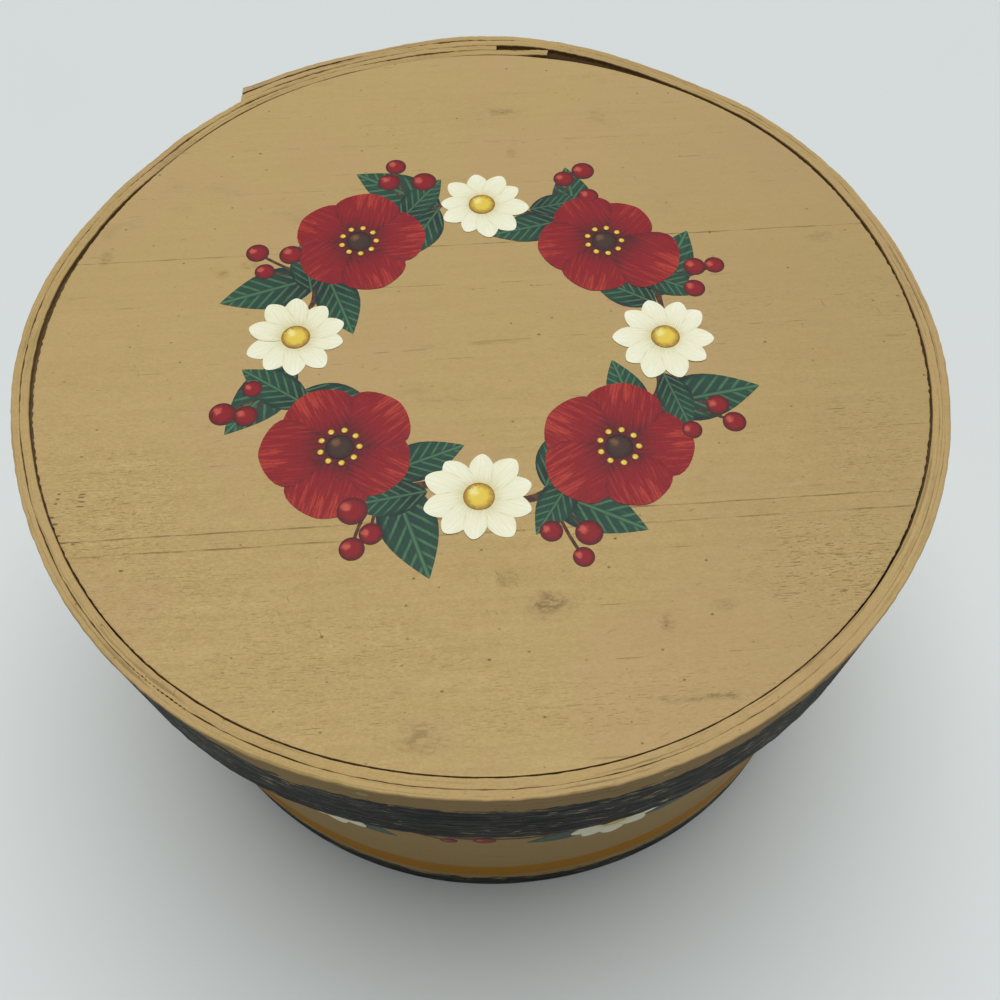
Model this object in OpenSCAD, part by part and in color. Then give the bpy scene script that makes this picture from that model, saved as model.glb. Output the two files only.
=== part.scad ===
// Round bentwood cheese box with a lift-off lid.
// The side is one veneer bent round a boarded bottom. The lid is a boarded head inside a rim of
// two veneers glued together, wound once round and lapped over its own start.
// Origin: the middle of the underside. +Z is up, +X is to the right and +Y is to the back.

/* [Side] */
// Outside diameter of the bent side
side_d = 300; // [220:1:400]
// Height of the bent side
side_h = 170; // [100:1:260]
// Thickness of the side's veneer
side_t = 4; // [3:0.1:6]
// Length of the skived lap where the side's two ends meet
side_lap = 60; // [40:1:80]
// Thickness left on each blunt tip of the skived lap
side_tip = 1; // [0.8:0.1:1.4]
// Direction of the middle of the skived lap, in degrees from the right
side_lap_at = 98; // [85:1:110]

/* [Heads] */
// Thickness of the lid's boards
lid_board_t = 9; // [6:0.5:14]
// Thickness of the bottom's boards
bottom_board_t = 9; // [6:0.5:14]
// Width of the middle board of each head
middle_board_w = 115; // [80:1:150]
// How far the middle board lies in front of the box's axis
middle_board_off = 13.5; // [0:0.5:20]
// Turn of the lid boards' grain
lid_grain = 4; // [-10:0.5:10]
// Turn of the bottom boards' grain
bottom_grain = 8; // [-10:0.5:10]
// Room between the lid's boards and the rim
lid_board_gap = 1.2; // [0.6:0.1:1.8]
// Room between the bottom's boards and the side
bottom_board_gap = 0.2; // [0.1:0.1:0.8]
// How far the lid's boards lie below the rim's top edge
lid_recess = 1; // [0.2:0.1:3]

/* [Lid rim] */
// Height of the rim
rim_h = 48; // [30:1:70]
// Thickness of each of the rim's two veneers
ply_t = 3; // [2:0.1:4]
// Room between the rim and the side
lid_clearance = 2.2; // [1.8:0.1:4]
// Direction in which the inner veneer starts
inner_ply_start = 80; // [76:1:83]
// Direction in which the outer veneer starts
outer_ply_start = 88; // [86:1:92]
// Direction in which the rim starts to climb over its own start
ramp_from = 55; // [50:1:57]
// Direction in which the rim has climbed over its own start
ramp_to = 88; // [84:1:92]
// Direction in which both veneers end
rim_end = 128; // [120:1:136]

/* [Fastenings] */
// Diameter of a nail's shank
nail_d = 1.8; // [1.2:0.1:2.4]
// Length of a nail
nail_l = 25; // [18:1:35]
// Diameter of a nail's head
nail_head_d = 4; // [3:0.1:5]
// Thickness of a nail's head
nail_head_t = 0.8; // [0.4:0.1:1.2]
// Diameter of a tack's wire
tack_d = 1.2; // [1:0.1:1.4]
// Diameter of a tack's head
tack_head_d = 4; // [3:0.1:5]
// Thickness of a tack's head
tack_head_t = 0.6; // [0.4:0.1:0.8]
// How far the heads of nails and tacks stand out of the wood
head_proud = 0.3; // [0.1:0.1:0.4]
// Length of a tack's point, bent over flat on the inside
clinch_l = 5; // [3:0.5:7]
// Rows of tacks up the rim's lap
rim_tack_rows = 3; // [2:1:4]
// Rows of tacks up the side's lap
side_tack_rows = 5; // [3:1:7]

/* [Hidden] */
// Glue between the veneers and between the boards
glue_line = 0.1;
// Room between a bent-over point and the wood that it lies on
clinch_gap = 0.1;
// Width of the joint between the skived ends of the side
lap_joint = 0.2;
// How far a cut runs past the wood that it cuts
over = 1;
// Straight steps along the skived face
skive_steps = 12;
// Straight steps along each of the rim's veneers
rim_steps = 162;
$fn = 120;

side_r = side_d / 2;
side_in_r = side_r - side_t;
bottom_r = side_in_r - bottom_board_gap;
rim_in_r = side_r + lid_clearance;
lid_r = rim_in_r - lid_board_gap;
lid_z = side_h;
rim_z = side_h + lid_board_t + lid_recess - rim_h;

// Joints between the boards, measured across the grain from the axis
front_joint = -middle_board_off - middle_board_w / 2;
back_joint = -middle_board_off + middle_board_w / 2;

// In its lap the rim lies two veneers further out
ply_pitch = ply_t + glue_line;
lap_rise = 2 * ply_pitch;

// The skived lap
lap_half = side_lap / side_r * 90 / PI;
lap_from = side_lap_at - lap_half;
lap_to = side_lap_at + lap_half;

// Where the joints between the boards meet a head's edge, counter-clockwise from the back right
lid_joints = joint_angles(lid_r, lid_grain);
bottom_joints = joint_angles(bottom_r, bottom_grain);

// Each board's own nails, clear of its joints and of the rim's lap
rim_nail_angles = concat(
    fan(lid_joints[0], ramp_from, 2),
    fan(rim_end, lid_joints[1], 2),
    fan(lid_joints[1], lid_joints[2], 2),
    fan(lid_joints[2], lid_joints[3], 4),
    fan(lid_joints[3], lid_joints[0] + 360, 2)
);
bottom_nail_angles = concat(
    fan(bottom_joints[0], bottom_joints[1], 5),
    fan(bottom_joints[1], bottom_joints[2], 2),
    fan(bottom_joints[2], bottom_joints[3], 4),
    fan(bottom_joints[3], bottom_joints[0] + 360, 2)
);

rim_paint = [0.76, 0.64, 0.43];
board_paint = [0.72, 0.60, 0.40];
side_paint = [0.68, 0.55, 0.36];
bare_wood = [0.55, 0.40, 0.24];
iron = [0.28, 0.26, 0.25];

function heading(angle) = [cos(angle), sin(angle)];

// Middles of n equal parts of the stretch from a to b
function fan(a, b, n) = [for (i = [0 : n - 1]) a + (b - a) * (i + 0.5) / n];

function joint_angles(r, grain) = [
    grain + asin(back_joint / r),
    grain + 180 - asin(back_joint / r),
    grain + 180 - asin(front_joint / r),
    grain + 360 + asin(front_joint / r)
];

// A smooth step from 0 to 1
function ease(x) = let (part = min(max(x, 0), 1)) part * part * (3 - 2 * part);

// Radius of the rim's inside as it goes round: level once round, up the climb and along the lap
function rim_r(angle) = rim_in_r + lap_rise * ease((angle - 360 - ramp_from) / (ramp_to - ramp_from));

// One face of a veneer that starts in a given direction, shifted outwards from the rim's inside
function rim_face(start, shift) = [
    for (i = [0 : rim_steps])
        let (angle = start + (360 + rim_end - start) * i / rim_steps)
            (rim_r(angle) + shift) * heading(angle)
];

// Radius of the skived face part of the way along the lap
function skive_r(part) = side_in_r + side_tip + part * (side_t - 2 * side_tip);

// One edge of the saw line between the skived ends, shifted outwards and along the lap
function skive_edge(shift) = [
    for (i = [0 : skive_steps])
        (skive_r(i / skive_steps) + shift)
            * heading(lap_from + (lap_to - lap_from) * i / skive_steps - shift / side_r * 180 / PI)
];

// Puts a nail or tack at a height on a wooden face, with its +Z pointing to the axis and its +X up
module driven_in(angle, r, z) {
    rotate([0, 0, angle])
        translate([r + head_proud, 0, z])
            rotate([0, -90, 0])
                children();
}

module nail() {
    point = nail_d;
    cylinder(d = nail_head_d, h = nail_head_t);
    cylinder(d = nail_d, h = nail_l - point);
    translate([0, 0, nail_l - point])
        cylinder(d1 = nail_d, d2 = nail_d / 4, h = point);
}

// A tack driven through wood of the given thickness, its point bent down on the inside
module tack(wood_t) {
    bend = head_proud + wood_t + clinch_gap + tack_d / 2;
    cylinder(d = tack_head_d, h = tack_head_t);
    cylinder(d = tack_d, h = bend);
    translate([0, 0, bend]) {
        sphere(d = tack_d);
        rotate([0, -90, 0])
            cylinder(d = tack_d, h = clinch_l);
    }
}

// One board of a head: the part of its disc between two joints
module head_board(r, t, z, grain, from, to) {
    intersection() {
        translate([0, 0, z])
            cylinder(r = r, h = t);
        rotate([0, 0, grain])
            translate([-side_d, from, z - over])
                cube([2 * side_d, to - from, t + 2 * over]);
    }
}

module front_board(r, t, z, grain) {
    head_board(r, t, z, grain, -side_d, front_joint - glue_line / 2);
}

module middle_board(r, t, z, grain) {
    head_board(r, t, z, grain, front_joint + glue_line / 2, back_joint - glue_line / 2);
}

module back_board(r, t, z, grain) {
    head_board(r, t, z, grain, back_joint + glue_line / 2, side_d);
}

// One of the rim's veneers, from its start round to the end of the lap
module rim_ply(start, shift) {
    inside = rim_face(start, shift);
    outside = rim_face(start, shift + ply_t);
    translate([0, 0, rim_z])
        linear_extrude(rim_h)
            polygon(concat(inside, [for (i = [rim_steps : -1 : 0]) outside[i]]));
}

// The saw line that parts the side's skived ends
module skived_joint() {
    half = lap_joint / 2;
    edge_turn = half / side_r * 180 / PI;
    translate([0, 0, -over])
        linear_extrude(side_h + 2 * over)
            polygon(concat(
                [(side_in_r - over) * heading(lap_from + edge_turn)],
                skive_edge(-half),
                [(side_r + over) * heading(lap_to + edge_turn)],
                [(side_r + over) * heading(lap_to - edge_turn)],
                [for (i = [skive_steps : -1 : 0]) skive_edge(half)[i]],
                [(side_in_r - over) * heading(lap_from - edge_turn)]
            ));
}

module lid_front_board() {
    color(board_paint)
        difference() {
            front_board(lid_r, lid_board_t, lid_z, lid_grain);
            rim_nails();
        }
}

module lid_middle_board() {
    color(board_paint)
        difference() {
            middle_board(lid_r, lid_board_t, lid_z, lid_grain);
            rim_nails();
        }
}

module lid_back_board() {
    color(board_paint)
        difference() {
            back_board(lid_r, lid_board_t, lid_z, lid_grain);
            rim_nails();
        }
}

module rim_inner_ply() {
    color(rim_paint)
        difference() {
            rim_ply(inner_ply_start, 0);
            rim_nails();
            rim_lap_tacks();
        }
}

module rim_outer_ply() {
    color(rim_paint)
        difference() {
            rim_ply(outer_ply_start, ply_pitch);
            rim_nails();
            rim_lap_tacks();
        }
}

// Through both veneers into the edge of the lid's boards
module rim_nails() {
    color(iron)
        for (angle = rim_nail_angles)
            driven_in(angle, rim_in_r + ply_pitch + ply_t, lid_z + lid_board_t / 2)
                nail();
}

// Through the four veneers of the rim's lap, below the boards
module rim_lap_tacks() {
    lap_t = 3 * ply_pitch + ply_t;
    color(iron)
        for (angle = fan(outer_ply_start, rim_end, 2), z = fan(rim_z, lid_z, rim_tack_rows))
            driven_in(angle, rim_in_r + lap_t, z)
                tack(lap_t);
}

module side_wall() {
    color(side_paint)
        difference() {
            cylinder(r = side_r, h = side_h);
            translate([0, 0, -over])
                cylinder(r = side_in_r, h = side_h + 2 * over);
            skived_joint();
            bottom_nails();
            side_lap_tacks();
        }
}

// Through both skived ends of the side, above the bottom
module side_lap_tacks() {
    color(iron)
        for (angle = fan(lap_from, lap_to, 2), z = fan(bottom_board_t, side_h, side_tack_rows))
            driven_in(angle, side_r, z)
                tack(side_t);
}

module bottom_front_board() {
    color(bare_wood)
        difference() {
            front_board(bottom_r, bottom_board_t, 0, bottom_grain);
            bottom_nails();
        }
}

module bottom_middle_board() {
    color(bare_wood)
        difference() {
            middle_board(bottom_r, bottom_board_t, 0, bottom_grain);
            bottom_nails();
        }
}

module bottom_back_board() {
    color(bare_wood)
        difference() {
            back_board(bottom_r, bottom_board_t, 0, bottom_grain);
            bottom_nails();
        }
}

// Through the side into the edge of the bottom's boards
module bottom_nails() {
    color(iron)
        for (angle = bottom_nail_angles)
            driven_in(angle, side_r, bottom_board_t / 2)
                nail();
}

lid_front_board();
lid_middle_board();
lid_back_board();
rim_inner_ply();
rim_outer_ply();
rim_nails();
rim_lap_tacks();
side_wall();
side_lap_tacks();
bottom_front_board();
bottom_middle_board();
bottom_back_board();
bottom_nails();
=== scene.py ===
"""Looks of a round painted bentwood cheese box, built around its CAD frame.

Lengths are in metres in the part's own frame: +Z up, the origin at the middle of the underside, +Y to
the back. Angles go counter-clockwise from +X, seen from above.
"""

import math

import bpy
import numpy as np
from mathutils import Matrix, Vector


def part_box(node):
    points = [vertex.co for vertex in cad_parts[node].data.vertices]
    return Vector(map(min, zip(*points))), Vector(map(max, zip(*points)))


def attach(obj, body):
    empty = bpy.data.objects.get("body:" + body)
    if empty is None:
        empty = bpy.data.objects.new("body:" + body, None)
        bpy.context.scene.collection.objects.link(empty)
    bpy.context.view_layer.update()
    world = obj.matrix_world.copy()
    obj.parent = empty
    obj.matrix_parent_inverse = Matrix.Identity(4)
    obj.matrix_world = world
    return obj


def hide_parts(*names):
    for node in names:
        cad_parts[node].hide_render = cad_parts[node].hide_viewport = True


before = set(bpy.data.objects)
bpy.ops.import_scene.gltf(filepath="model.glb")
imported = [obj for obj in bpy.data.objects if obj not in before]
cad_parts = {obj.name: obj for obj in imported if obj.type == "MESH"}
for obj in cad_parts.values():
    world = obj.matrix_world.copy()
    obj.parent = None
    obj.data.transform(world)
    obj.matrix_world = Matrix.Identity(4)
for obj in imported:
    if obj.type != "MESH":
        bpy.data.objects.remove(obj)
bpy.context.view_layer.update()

bl_info = {
    "name": "Bentwood Cheese Box",
    "version": (1, 0, 0),
    "blender": (4, 5, 0),
    "location": "3D View > Sidebar > Cheese Box",
    "description": "Boards, bent rim, side, painted bands and painted flowers of a round cheese box",
    "category": "Add Mesh",
}

TAU = 2 * math.pi
MM = 0.001

SIDE_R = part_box("side_wall")[1][0]
SIDE_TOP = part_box("side_wall")[1][2]
RIM_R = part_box("rim_outer_ply")[1][0]
RIM_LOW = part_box("rim_outer_ply")[0][2]
RIM_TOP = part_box("rim_outer_ply")[1][2]
LID_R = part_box("lid_middle_board")[1][0]
LID_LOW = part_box("lid_middle_board")[0][2]
LID_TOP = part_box("lid_middle_board")[1][2]
LID_FACE = LID_TOP + 0.6 * MM
BOTTOM_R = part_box("bottom_middle_board")[1][0]
BOTTOM_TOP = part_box("bottom_middle_board")[1][2]

# Levels of the painted bands on the rim and the side
RIM_BAND_TOP = RIM_TOP - 13 * MM
FOOT_TOP = 14.5 * MM
STRIPE = (22.5 * MM, 39.5 * MM)

# Specular levels of the finishes
LID_SHEEN = 0.14
BAND_SHEEN = 0.05
WOOD_SHEEN = 0.3
IRON_SHEEN = 0.5
FLOWER_SHEEN = 0.2
FLOOR_SHEEN = 0.1


def srgb(red, green, blue):
    """A colour given as screen values from 0 to 255, in linear light."""
    screen = np.array([red, green, blue]) / 255
    linear = np.where(screen <= 0.04045, screen / 12.92, ((screen + 0.055) / 1.055) ** 2.4)
    return tuple(float(part) for part in linear)


def length(name, description, default):
    """A size that a user can change, in metres."""
    return bpy.props.FloatProperty(
        name=name, description=description, default=default, unit="LENGTH", precision=5)


def angle(name, description, degrees):
    """A direction that a user can change, shown in degrees."""
    return bpy.props.FloatProperty(
        name=name, description=description, default=math.radians(degrees), subtype="ANGLE")


def colour(name, description, red, green, blue):
    """A colour that a user can change."""
    return bpy.props.FloatVectorProperty(
        name=name, description=description, default=srgb(red, green, blue), subtype="COLOR",
        size=3, min=0, max=1)


class CheeseBoxSizes(bpy.types.PropertyGroup):
    """Sizes of the wooden pieces that the frame's boxes don't give."""

    ply: length("Ply", "Thickness of each of the rim's two veneers", 3 * MM)
    glue: length("Glue line", "Room between the rim's veneers", 0.1 * MM)
    crack: length("Crack", "Widest crack between the rim's veneers", 0.12 * MM)
    inner_start: angle("Inner start", "Where the rim's inner veneer starts", 80)
    outer_start: angle("Outer start", "Where the rim's outer veneer starts", 88)
    climb_from: angle("Climb from", "Where the rim starts to climb over its start", 55)
    climb_to: angle("Climb to", "Where the rim has climbed over its start", 88)
    rim_end: angle("Rim end", "Where both veneers of the rim end", 128)
    side: length("Side", "Thickness of the side's veneer", 4 * MM)
    side_tip: length("Side tip", "Thickness left on the skived ends of the side", 1 * MM)
    side_lap: length("Side lap", "Length of the skived lap of the side", 60 * MM)
    side_lap_at: angle("Side lap at", "Direction of the middle of the side's lap", 98)
    front_joint: length("Front joint", "Joint of the front and middle boards, across the grain", -71 * MM)
    back_joint: length("Back joint", "Joint of the middle and back boards, across the grain", 44 * MM)
    lid_grain: angle("Lid grain", "Turn of the lid boards' grain", 4)
    bottom_grain: angle("Bottom grain", "Turn of the bottom boards' grain", 8)
    mesh_step: length("Mesh step", "Length of the faces along the wood", 1.2 * MM)


class CheeseBoxPaints(bpy.types.PropertyGroup):
    """Colours of the paints, the bare wood and the iron."""

    tan_light: colour("Tan light", "Tan paint where it is thick", 200, 172, 119)
    tan_dark: colour("Tan dark", "Tan paint where it is thin", 170, 141, 89)
    tan_pink: colour("Tan pink", "Tan paint where it leans to pink", 187, 155, 112)
    # This colour also stands in for painted shade: on the rim's and the side's outer faces, on the lid
    # boards' edges in the gap, inside the rim and on the dark sides of dents.
    grime_and_shade: colour("Grime", "Dirt in pores, dents and joints", 78, 58, 34)
    smudge: colour("Smudge", "Grey smears on the paint", 118, 108, 80)
    smudge_dark: colour("Dark smudge", "Dark smears on the paint", 92, 78, 54)
    charcoal: colour("Charcoal", "Charcoal paint", 14, 14, 13)
    charcoal_dry: colour("Charcoal dry", "Charcoal paint where the brush ran dry", 86, 86, 81)
    ochre: colour("Ochre", "Ochre stripe on the side", 170, 115, 21)
    bare: colour("Bare wood", "Unpainted wood", 218, 194, 158)
    bare_dark: colour("Bare wood dark", "Dark grain of the unpainted wood", 176, 144, 106)
    red: colour("Red", "Red flower paint", 132, 10, 22)
    red_dark: colour("Red dark", "Shaded red flower paint", 74, 8, 16)
    red_light: colour("Red light", "Light strokes on the red flower paint", 186, 62, 44)
    green: colour("Green", "Leaf paint", 22, 58, 44)
    green_dark: colour("Green dark", "Shaded leaf paint", 10, 30, 27)
    green_light: colour("Green light", "Veins and strokes on the leaf paint", 94, 140, 96)
    cream: colour("Cream", "Cream flower paint", 238, 234, 204)
    cream_shade: colour("Cream shade", "Shaded cream flower paint", 206, 194, 140)
    cream_light: colour("Cream light", "Light strokes on the cream flower paint", 250, 248, 232)
    berry_light: colour("Berry light", "Light dab on the berries", 206, 92, 74)
    yellow: colour("Yellow", "Flower centres", 226, 196, 74)
    yellow_dark: colour("Yellow dark", "Edge of the flower centres", 150, 104, 34)
    yellow_light: colour("Yellow light", "Light dab on the flower centres", 244, 230, 150)
    brown: colour("Brown", "Stems and the hearts of red flowers", 58, 34, 24)
    brown_dark: colour("Brown dark", "Edge of the hearts", 30, 16, 12)
    brown_light: colour("Brown light", "Light dab on the hearts", 122, 84, 52)
    stem_light: colour("Stem light", "Streaks on the stems", 104, 68, 44)
    iron: colour("Iron", "Nails and tacks", 84, 78, 74)
    rust: colour("Rust", "Spots on the iron", 96, 56, 34)


class CheeseBoxStage(bpy.types.PropertyGroup):
    """Floor, light and camera."""

    floor: colour("Floor", "Pale sheet that the box stands on", 219, 222, 221)
    lamp: bpy.props.FloatProperty(
        name="Lamp", description="Strength of the wide overhead light", default=3.07)
    lamp_width: angle("Lamp width", "How wide the overhead light looks from the box", 58)
    lamp_back: angle("Lamp back", "How far the overhead light leans to the back", 14)
    lamp_right: angle("Lamp right", "How far the overhead light leans to the right", 0.8)
    sky: bpy.props.FloatProperty(
        name="Sky", description="Strength of the light from all round", default=0.04)
    eye_height: length("Eye height", "Height of the camera", 451.3 * MM)
    eye_front: length("Eye front", "How far in front of the box's axis the camera is", 222.5 * MM)
    eye_right: length("Eye right", "How far to the right the camera is", 6.3 * MM)
    eye_pitch: angle("Eye pitch", "How far the camera looks down", 59.92)
    eye_roll: angle("Eye roll", "Roll of the camera", -0.11)


# Shapes as arrays


def wander(count, spacing, grain, seed):
    """A row of smooth random numbers: white noise whose waves shorter than the grain are damped, with a
    mean of nought and a spread of one. The row's end joins its start."""
    noise = np.random.default_rng(seed).standard_normal(count)
    waves = np.fft.rfft(noise) * np.exp(-(np.fft.rfftfreq(count, spacing) * grain) ** 2)
    waves[0] = 0
    row = np.fft.irfft(waves, count)
    return row / row.std()


def wander_round(turn, radius, grain, seed):
    """Smooth random numbers round a circle, read off at any angles."""
    count = 8192
    row = wander(count, TAU * radius / count, grain, seed)
    return np.interp(np.mod(turn, TAU), np.linspace(0, TAU, count + 1), np.append(row, row[0]))


def ease(part):
    """A smooth step from nought to one."""
    part = np.clip(part, 0, 1)
    return part * part * (3 - 2 * part)


def grid_faces(rows, columns, around=False):
    """Quads of a grid of points, row by row. Their normal is the step along a column crossed with the step
    along a row. With around, the last column joins the first."""
    i, j = np.meshgrid(np.arange(rows - 1), np.arange(columns - (not around)), indexing="ij")
    k = (j + 1) % columns
    quads = [i * columns + j, (i + 1) * columns + j, (i + 1) * columns + k, i * columns + k]
    return np.stack(quads, -1).reshape(-1, 4)


def fan_faces(loop, hub, flip=False):
    """Triangles from a closed loop of points to one hub point."""
    ends = (np.roll(loop, -1), loop) if flip else (loop, np.roll(loop, -1))
    return np.stack([np.full(len(loop), hub), *ends], -1)


def repeated(faces, times, count):
    """The faces of some copies of a piece that has so many points."""
    shift = np.arange(times)[:, None, None] * count
    return [(part[None] + shift).reshape(-1, part.shape[1]) for part in faces]


def make_piece(name, points, faces, material, body, stands_for=(), uv=None, painted=None,
               sharp=math.radians(38)):
    """Puts arrays of points and faces into a mesh object that rides on a body of the frame."""
    mesh = bpy.data.meshes.new(name)
    points = np.asarray(points, float).reshape(-1, 3)
    corners = np.concatenate([part.ravel() for part in faces])
    counts = np.concatenate([np.full(len(part), part.shape[1]) for part in faces])
    mesh.vertices.add(len(points))
    mesh.vertices.foreach_set("co", points.ravel())
    mesh.loops.add(len(corners))
    mesh.loops.foreach_set("vertex_index", corners)
    mesh.polygons.add(len(counts))
    mesh.polygons.foreach_set("loop_start", np.concatenate([[0], np.cumsum(counts)[:-1]]))
    if uv is not None:
        mesh.uv_layers.new(name="UVMap").uv.foreach_set("vector", np.reshape(uv, (-1, 2))[corners].ravel())
    if painted is not None:
        mesh.attributes.new("painted", "FLOAT", "POINT").data.foreach_set("value", np.ravel(painted))
    mesh.update(calc_edges=True)
    if mesh.validate():
        raise RuntimeError(name + " has faulty faces")
    mesh.shade_smooth()
    mesh.set_sharp_from_angle(angle=sharp)
    mesh.materials.append(material)
    piece = bpy.data.objects.new(name, mesh)
    bpy.context.scene.collection.objects.link(piece)
    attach(piece, body)
    if stands_for:
        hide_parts(*stands_for)
    return piece


# Shaders as expressions


class Wire:
    """A socket of a material's node tree. Arithmetic on it adds Math nodes."""

    def __init__(self, book, socket):
        self.book = book
        self.socket = socket

    def __add__(self, other):
        return self.book.math("ADD", self, other)

    def __sub__(self, other):
        return self.book.math("SUBTRACT", self, other)

    def __rsub__(self, other):
        return self.book.math("SUBTRACT", other, self)

    def __mul__(self, other):
        return self.book.math("MULTIPLY", self, other)

    def __truediv__(self, other):
        return self.book.math("DIVIDE", self, other)

    __radd__ = __add__
    __rmul__ = __mul__


class Finish:
    """A material or a world in the making, with its node tree."""

    def __init__(self, name, world=False):
        shelf = bpy.data.worlds if world else bpy.data.materials
        self.owner = shelf.new(name)
        self.owner.use_nodes = True
        self.tree = self.owner.node_tree
        self.tree.nodes.clear()

    def node(self, kind, settings=None, inputs=None, output=0):
        """Adds a node: its settings first, then a value or a link for each named socket."""
        made = self.tree.nodes.new(kind)
        for key, value in (settings or {}).items():
            setattr(made, key, value)
        for key, value in (inputs or {}).items():
            if isinstance(value, Wire):
                self.tree.links.new(value.socket, made.inputs[key])
            else:
                made.inputs[key].default_value = value
        return Wire(self, made.outputs[output]) if len(made.outputs) else made

    def math(self, operation, first, second=0.0):
        return self.node("ShaderNodeMath", {"operation": operation}, {0: first, 1: second})

    def reach(self, x, y):
        """Length of a flat vector."""
        return self.math("SQRT", x * x + y * y)

    def place(self):
        """Where a point is on the object."""
        return self.node("ShaderNodeTexCoord", output="Object")

    def along(self):
        """Where a point is on the piece's own unrolled surface."""
        return self.node("ShaderNodeUVMap", {"uv_map": "UVMap"})

    def painted(self):
        """How much of a point is painted, as the piece says."""
        return self.node("ShaderNodeAttribute", {"attribute_name": "painted"}, output="Fac")

    def split(self, vector):
        """The three parts of a vector."""
        part = self.node("ShaderNodeSeparateXYZ", {}, {0: vector})
        return [Wire(self, socket) for socket in part.socket.node.outputs]

    def stretch(self, vector, scale, turn=0.0, shift=(0, 0, 0)):
        """The vector moved, turned about Z and scaled, so that a pattern gets longer where the scale is
        small."""
        turned = self.node("ShaderNodeMapping", {"vector_type": "POINT"},
                           {"Vector": vector, "Rotation": (0, 0, turn), "Location": shift})
        return self.node("ShaderNodeMapping", {"vector_type": "POINT"}, {"Vector": turned, "Scale": scale})

    def noise(self, vector, scale, detail=2.0, rough=0.5, twist=0.0):
        """Smooth random values about a half."""
        inputs = {"Vector": vector, "Scale": scale, "Detail": detail, "Roughness": rough, "Distortion": twist}
        return self.node("ShaderNodeTexNoise", {}, inputs, "Fac")

    def drawn(self, vector, share, *noise):
        """Noise drawn out along X: a share of 0.1 makes it ten times as long as wide."""
        return self.noise(self.stretch(vector, (share, 1, 1)), *noise)

    def step(self, value, low, high):
        """A smooth step from nought at low to one at high."""
        return self.node("ShaderNodeMapRange", {"interpolation_type": "SMOOTHSTEP"},
                         {"Value": value, "From Min": low, "From Max": high}, "Result")

    def between(self, value, low, high, soft):
        """One between two edges and nought outside, each edge softened."""
        return self.step(value, low - soft, low + soft) * (1 - self.step(value, high - soft, high + soft))

    def facing(self, heading, first, last, soft):
        """One between two directions in degrees and nought outside, each edge softened."""
        return self.between(heading, *np.radians([first, last, soft]).tolist())

    def mix(self, share, first, second):
        """The first colour where the share is nought and the second where it is one."""
        first = first if isinstance(first, Wire) else (*first, 1)
        second = second if isinstance(second, Wire) else (*second, 1)
        return self.node("ShaderNodeMix", {"data_type": "RGBA", "clamp_factor": True},
                         {0: share, 6: first, 7: second}, 2)

    def finish(self, base, rough, sheen, height=None, relief=0.0):
        """The surface itself: base colour, roughness, specular level and a bump whose relief is in metres."""
        inputs = {"Base Color": base, "Roughness": rough, "Specular IOR Level": sheen}
        if height is not None:
            bump = {"Strength": 1.0, "Distance": relief, "Height": height}
            inputs["Normal"] = self.node("ShaderNodeBump", {}, bump)
        surface = self.node("ShaderNodeBsdfPrincipled", {}, inputs)
        self.node("ShaderNodeOutputMaterial", {}, {"Surface": surface})
        return self.owner


# Heights of the bumps
PAINT_RELIEF = 0.22 * MM
SIDE_RELIEF = 0.2 * MM
WOOD_RELIEF = 0.12 * MM
IRON_RELIEF = 0.08 * MM
FLOWER_RELIEF = 0.1 * MM

# Directions of the nicks in the tan paint, from the grain
NICKS = (math.radians(68), math.radians(-24))
# Where the rim's charcoal band rises: first and last direction in degrees and millimetres
BAND_RISES = ((-155, -116, 10.5), (-59, -30, 4.5))


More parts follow.
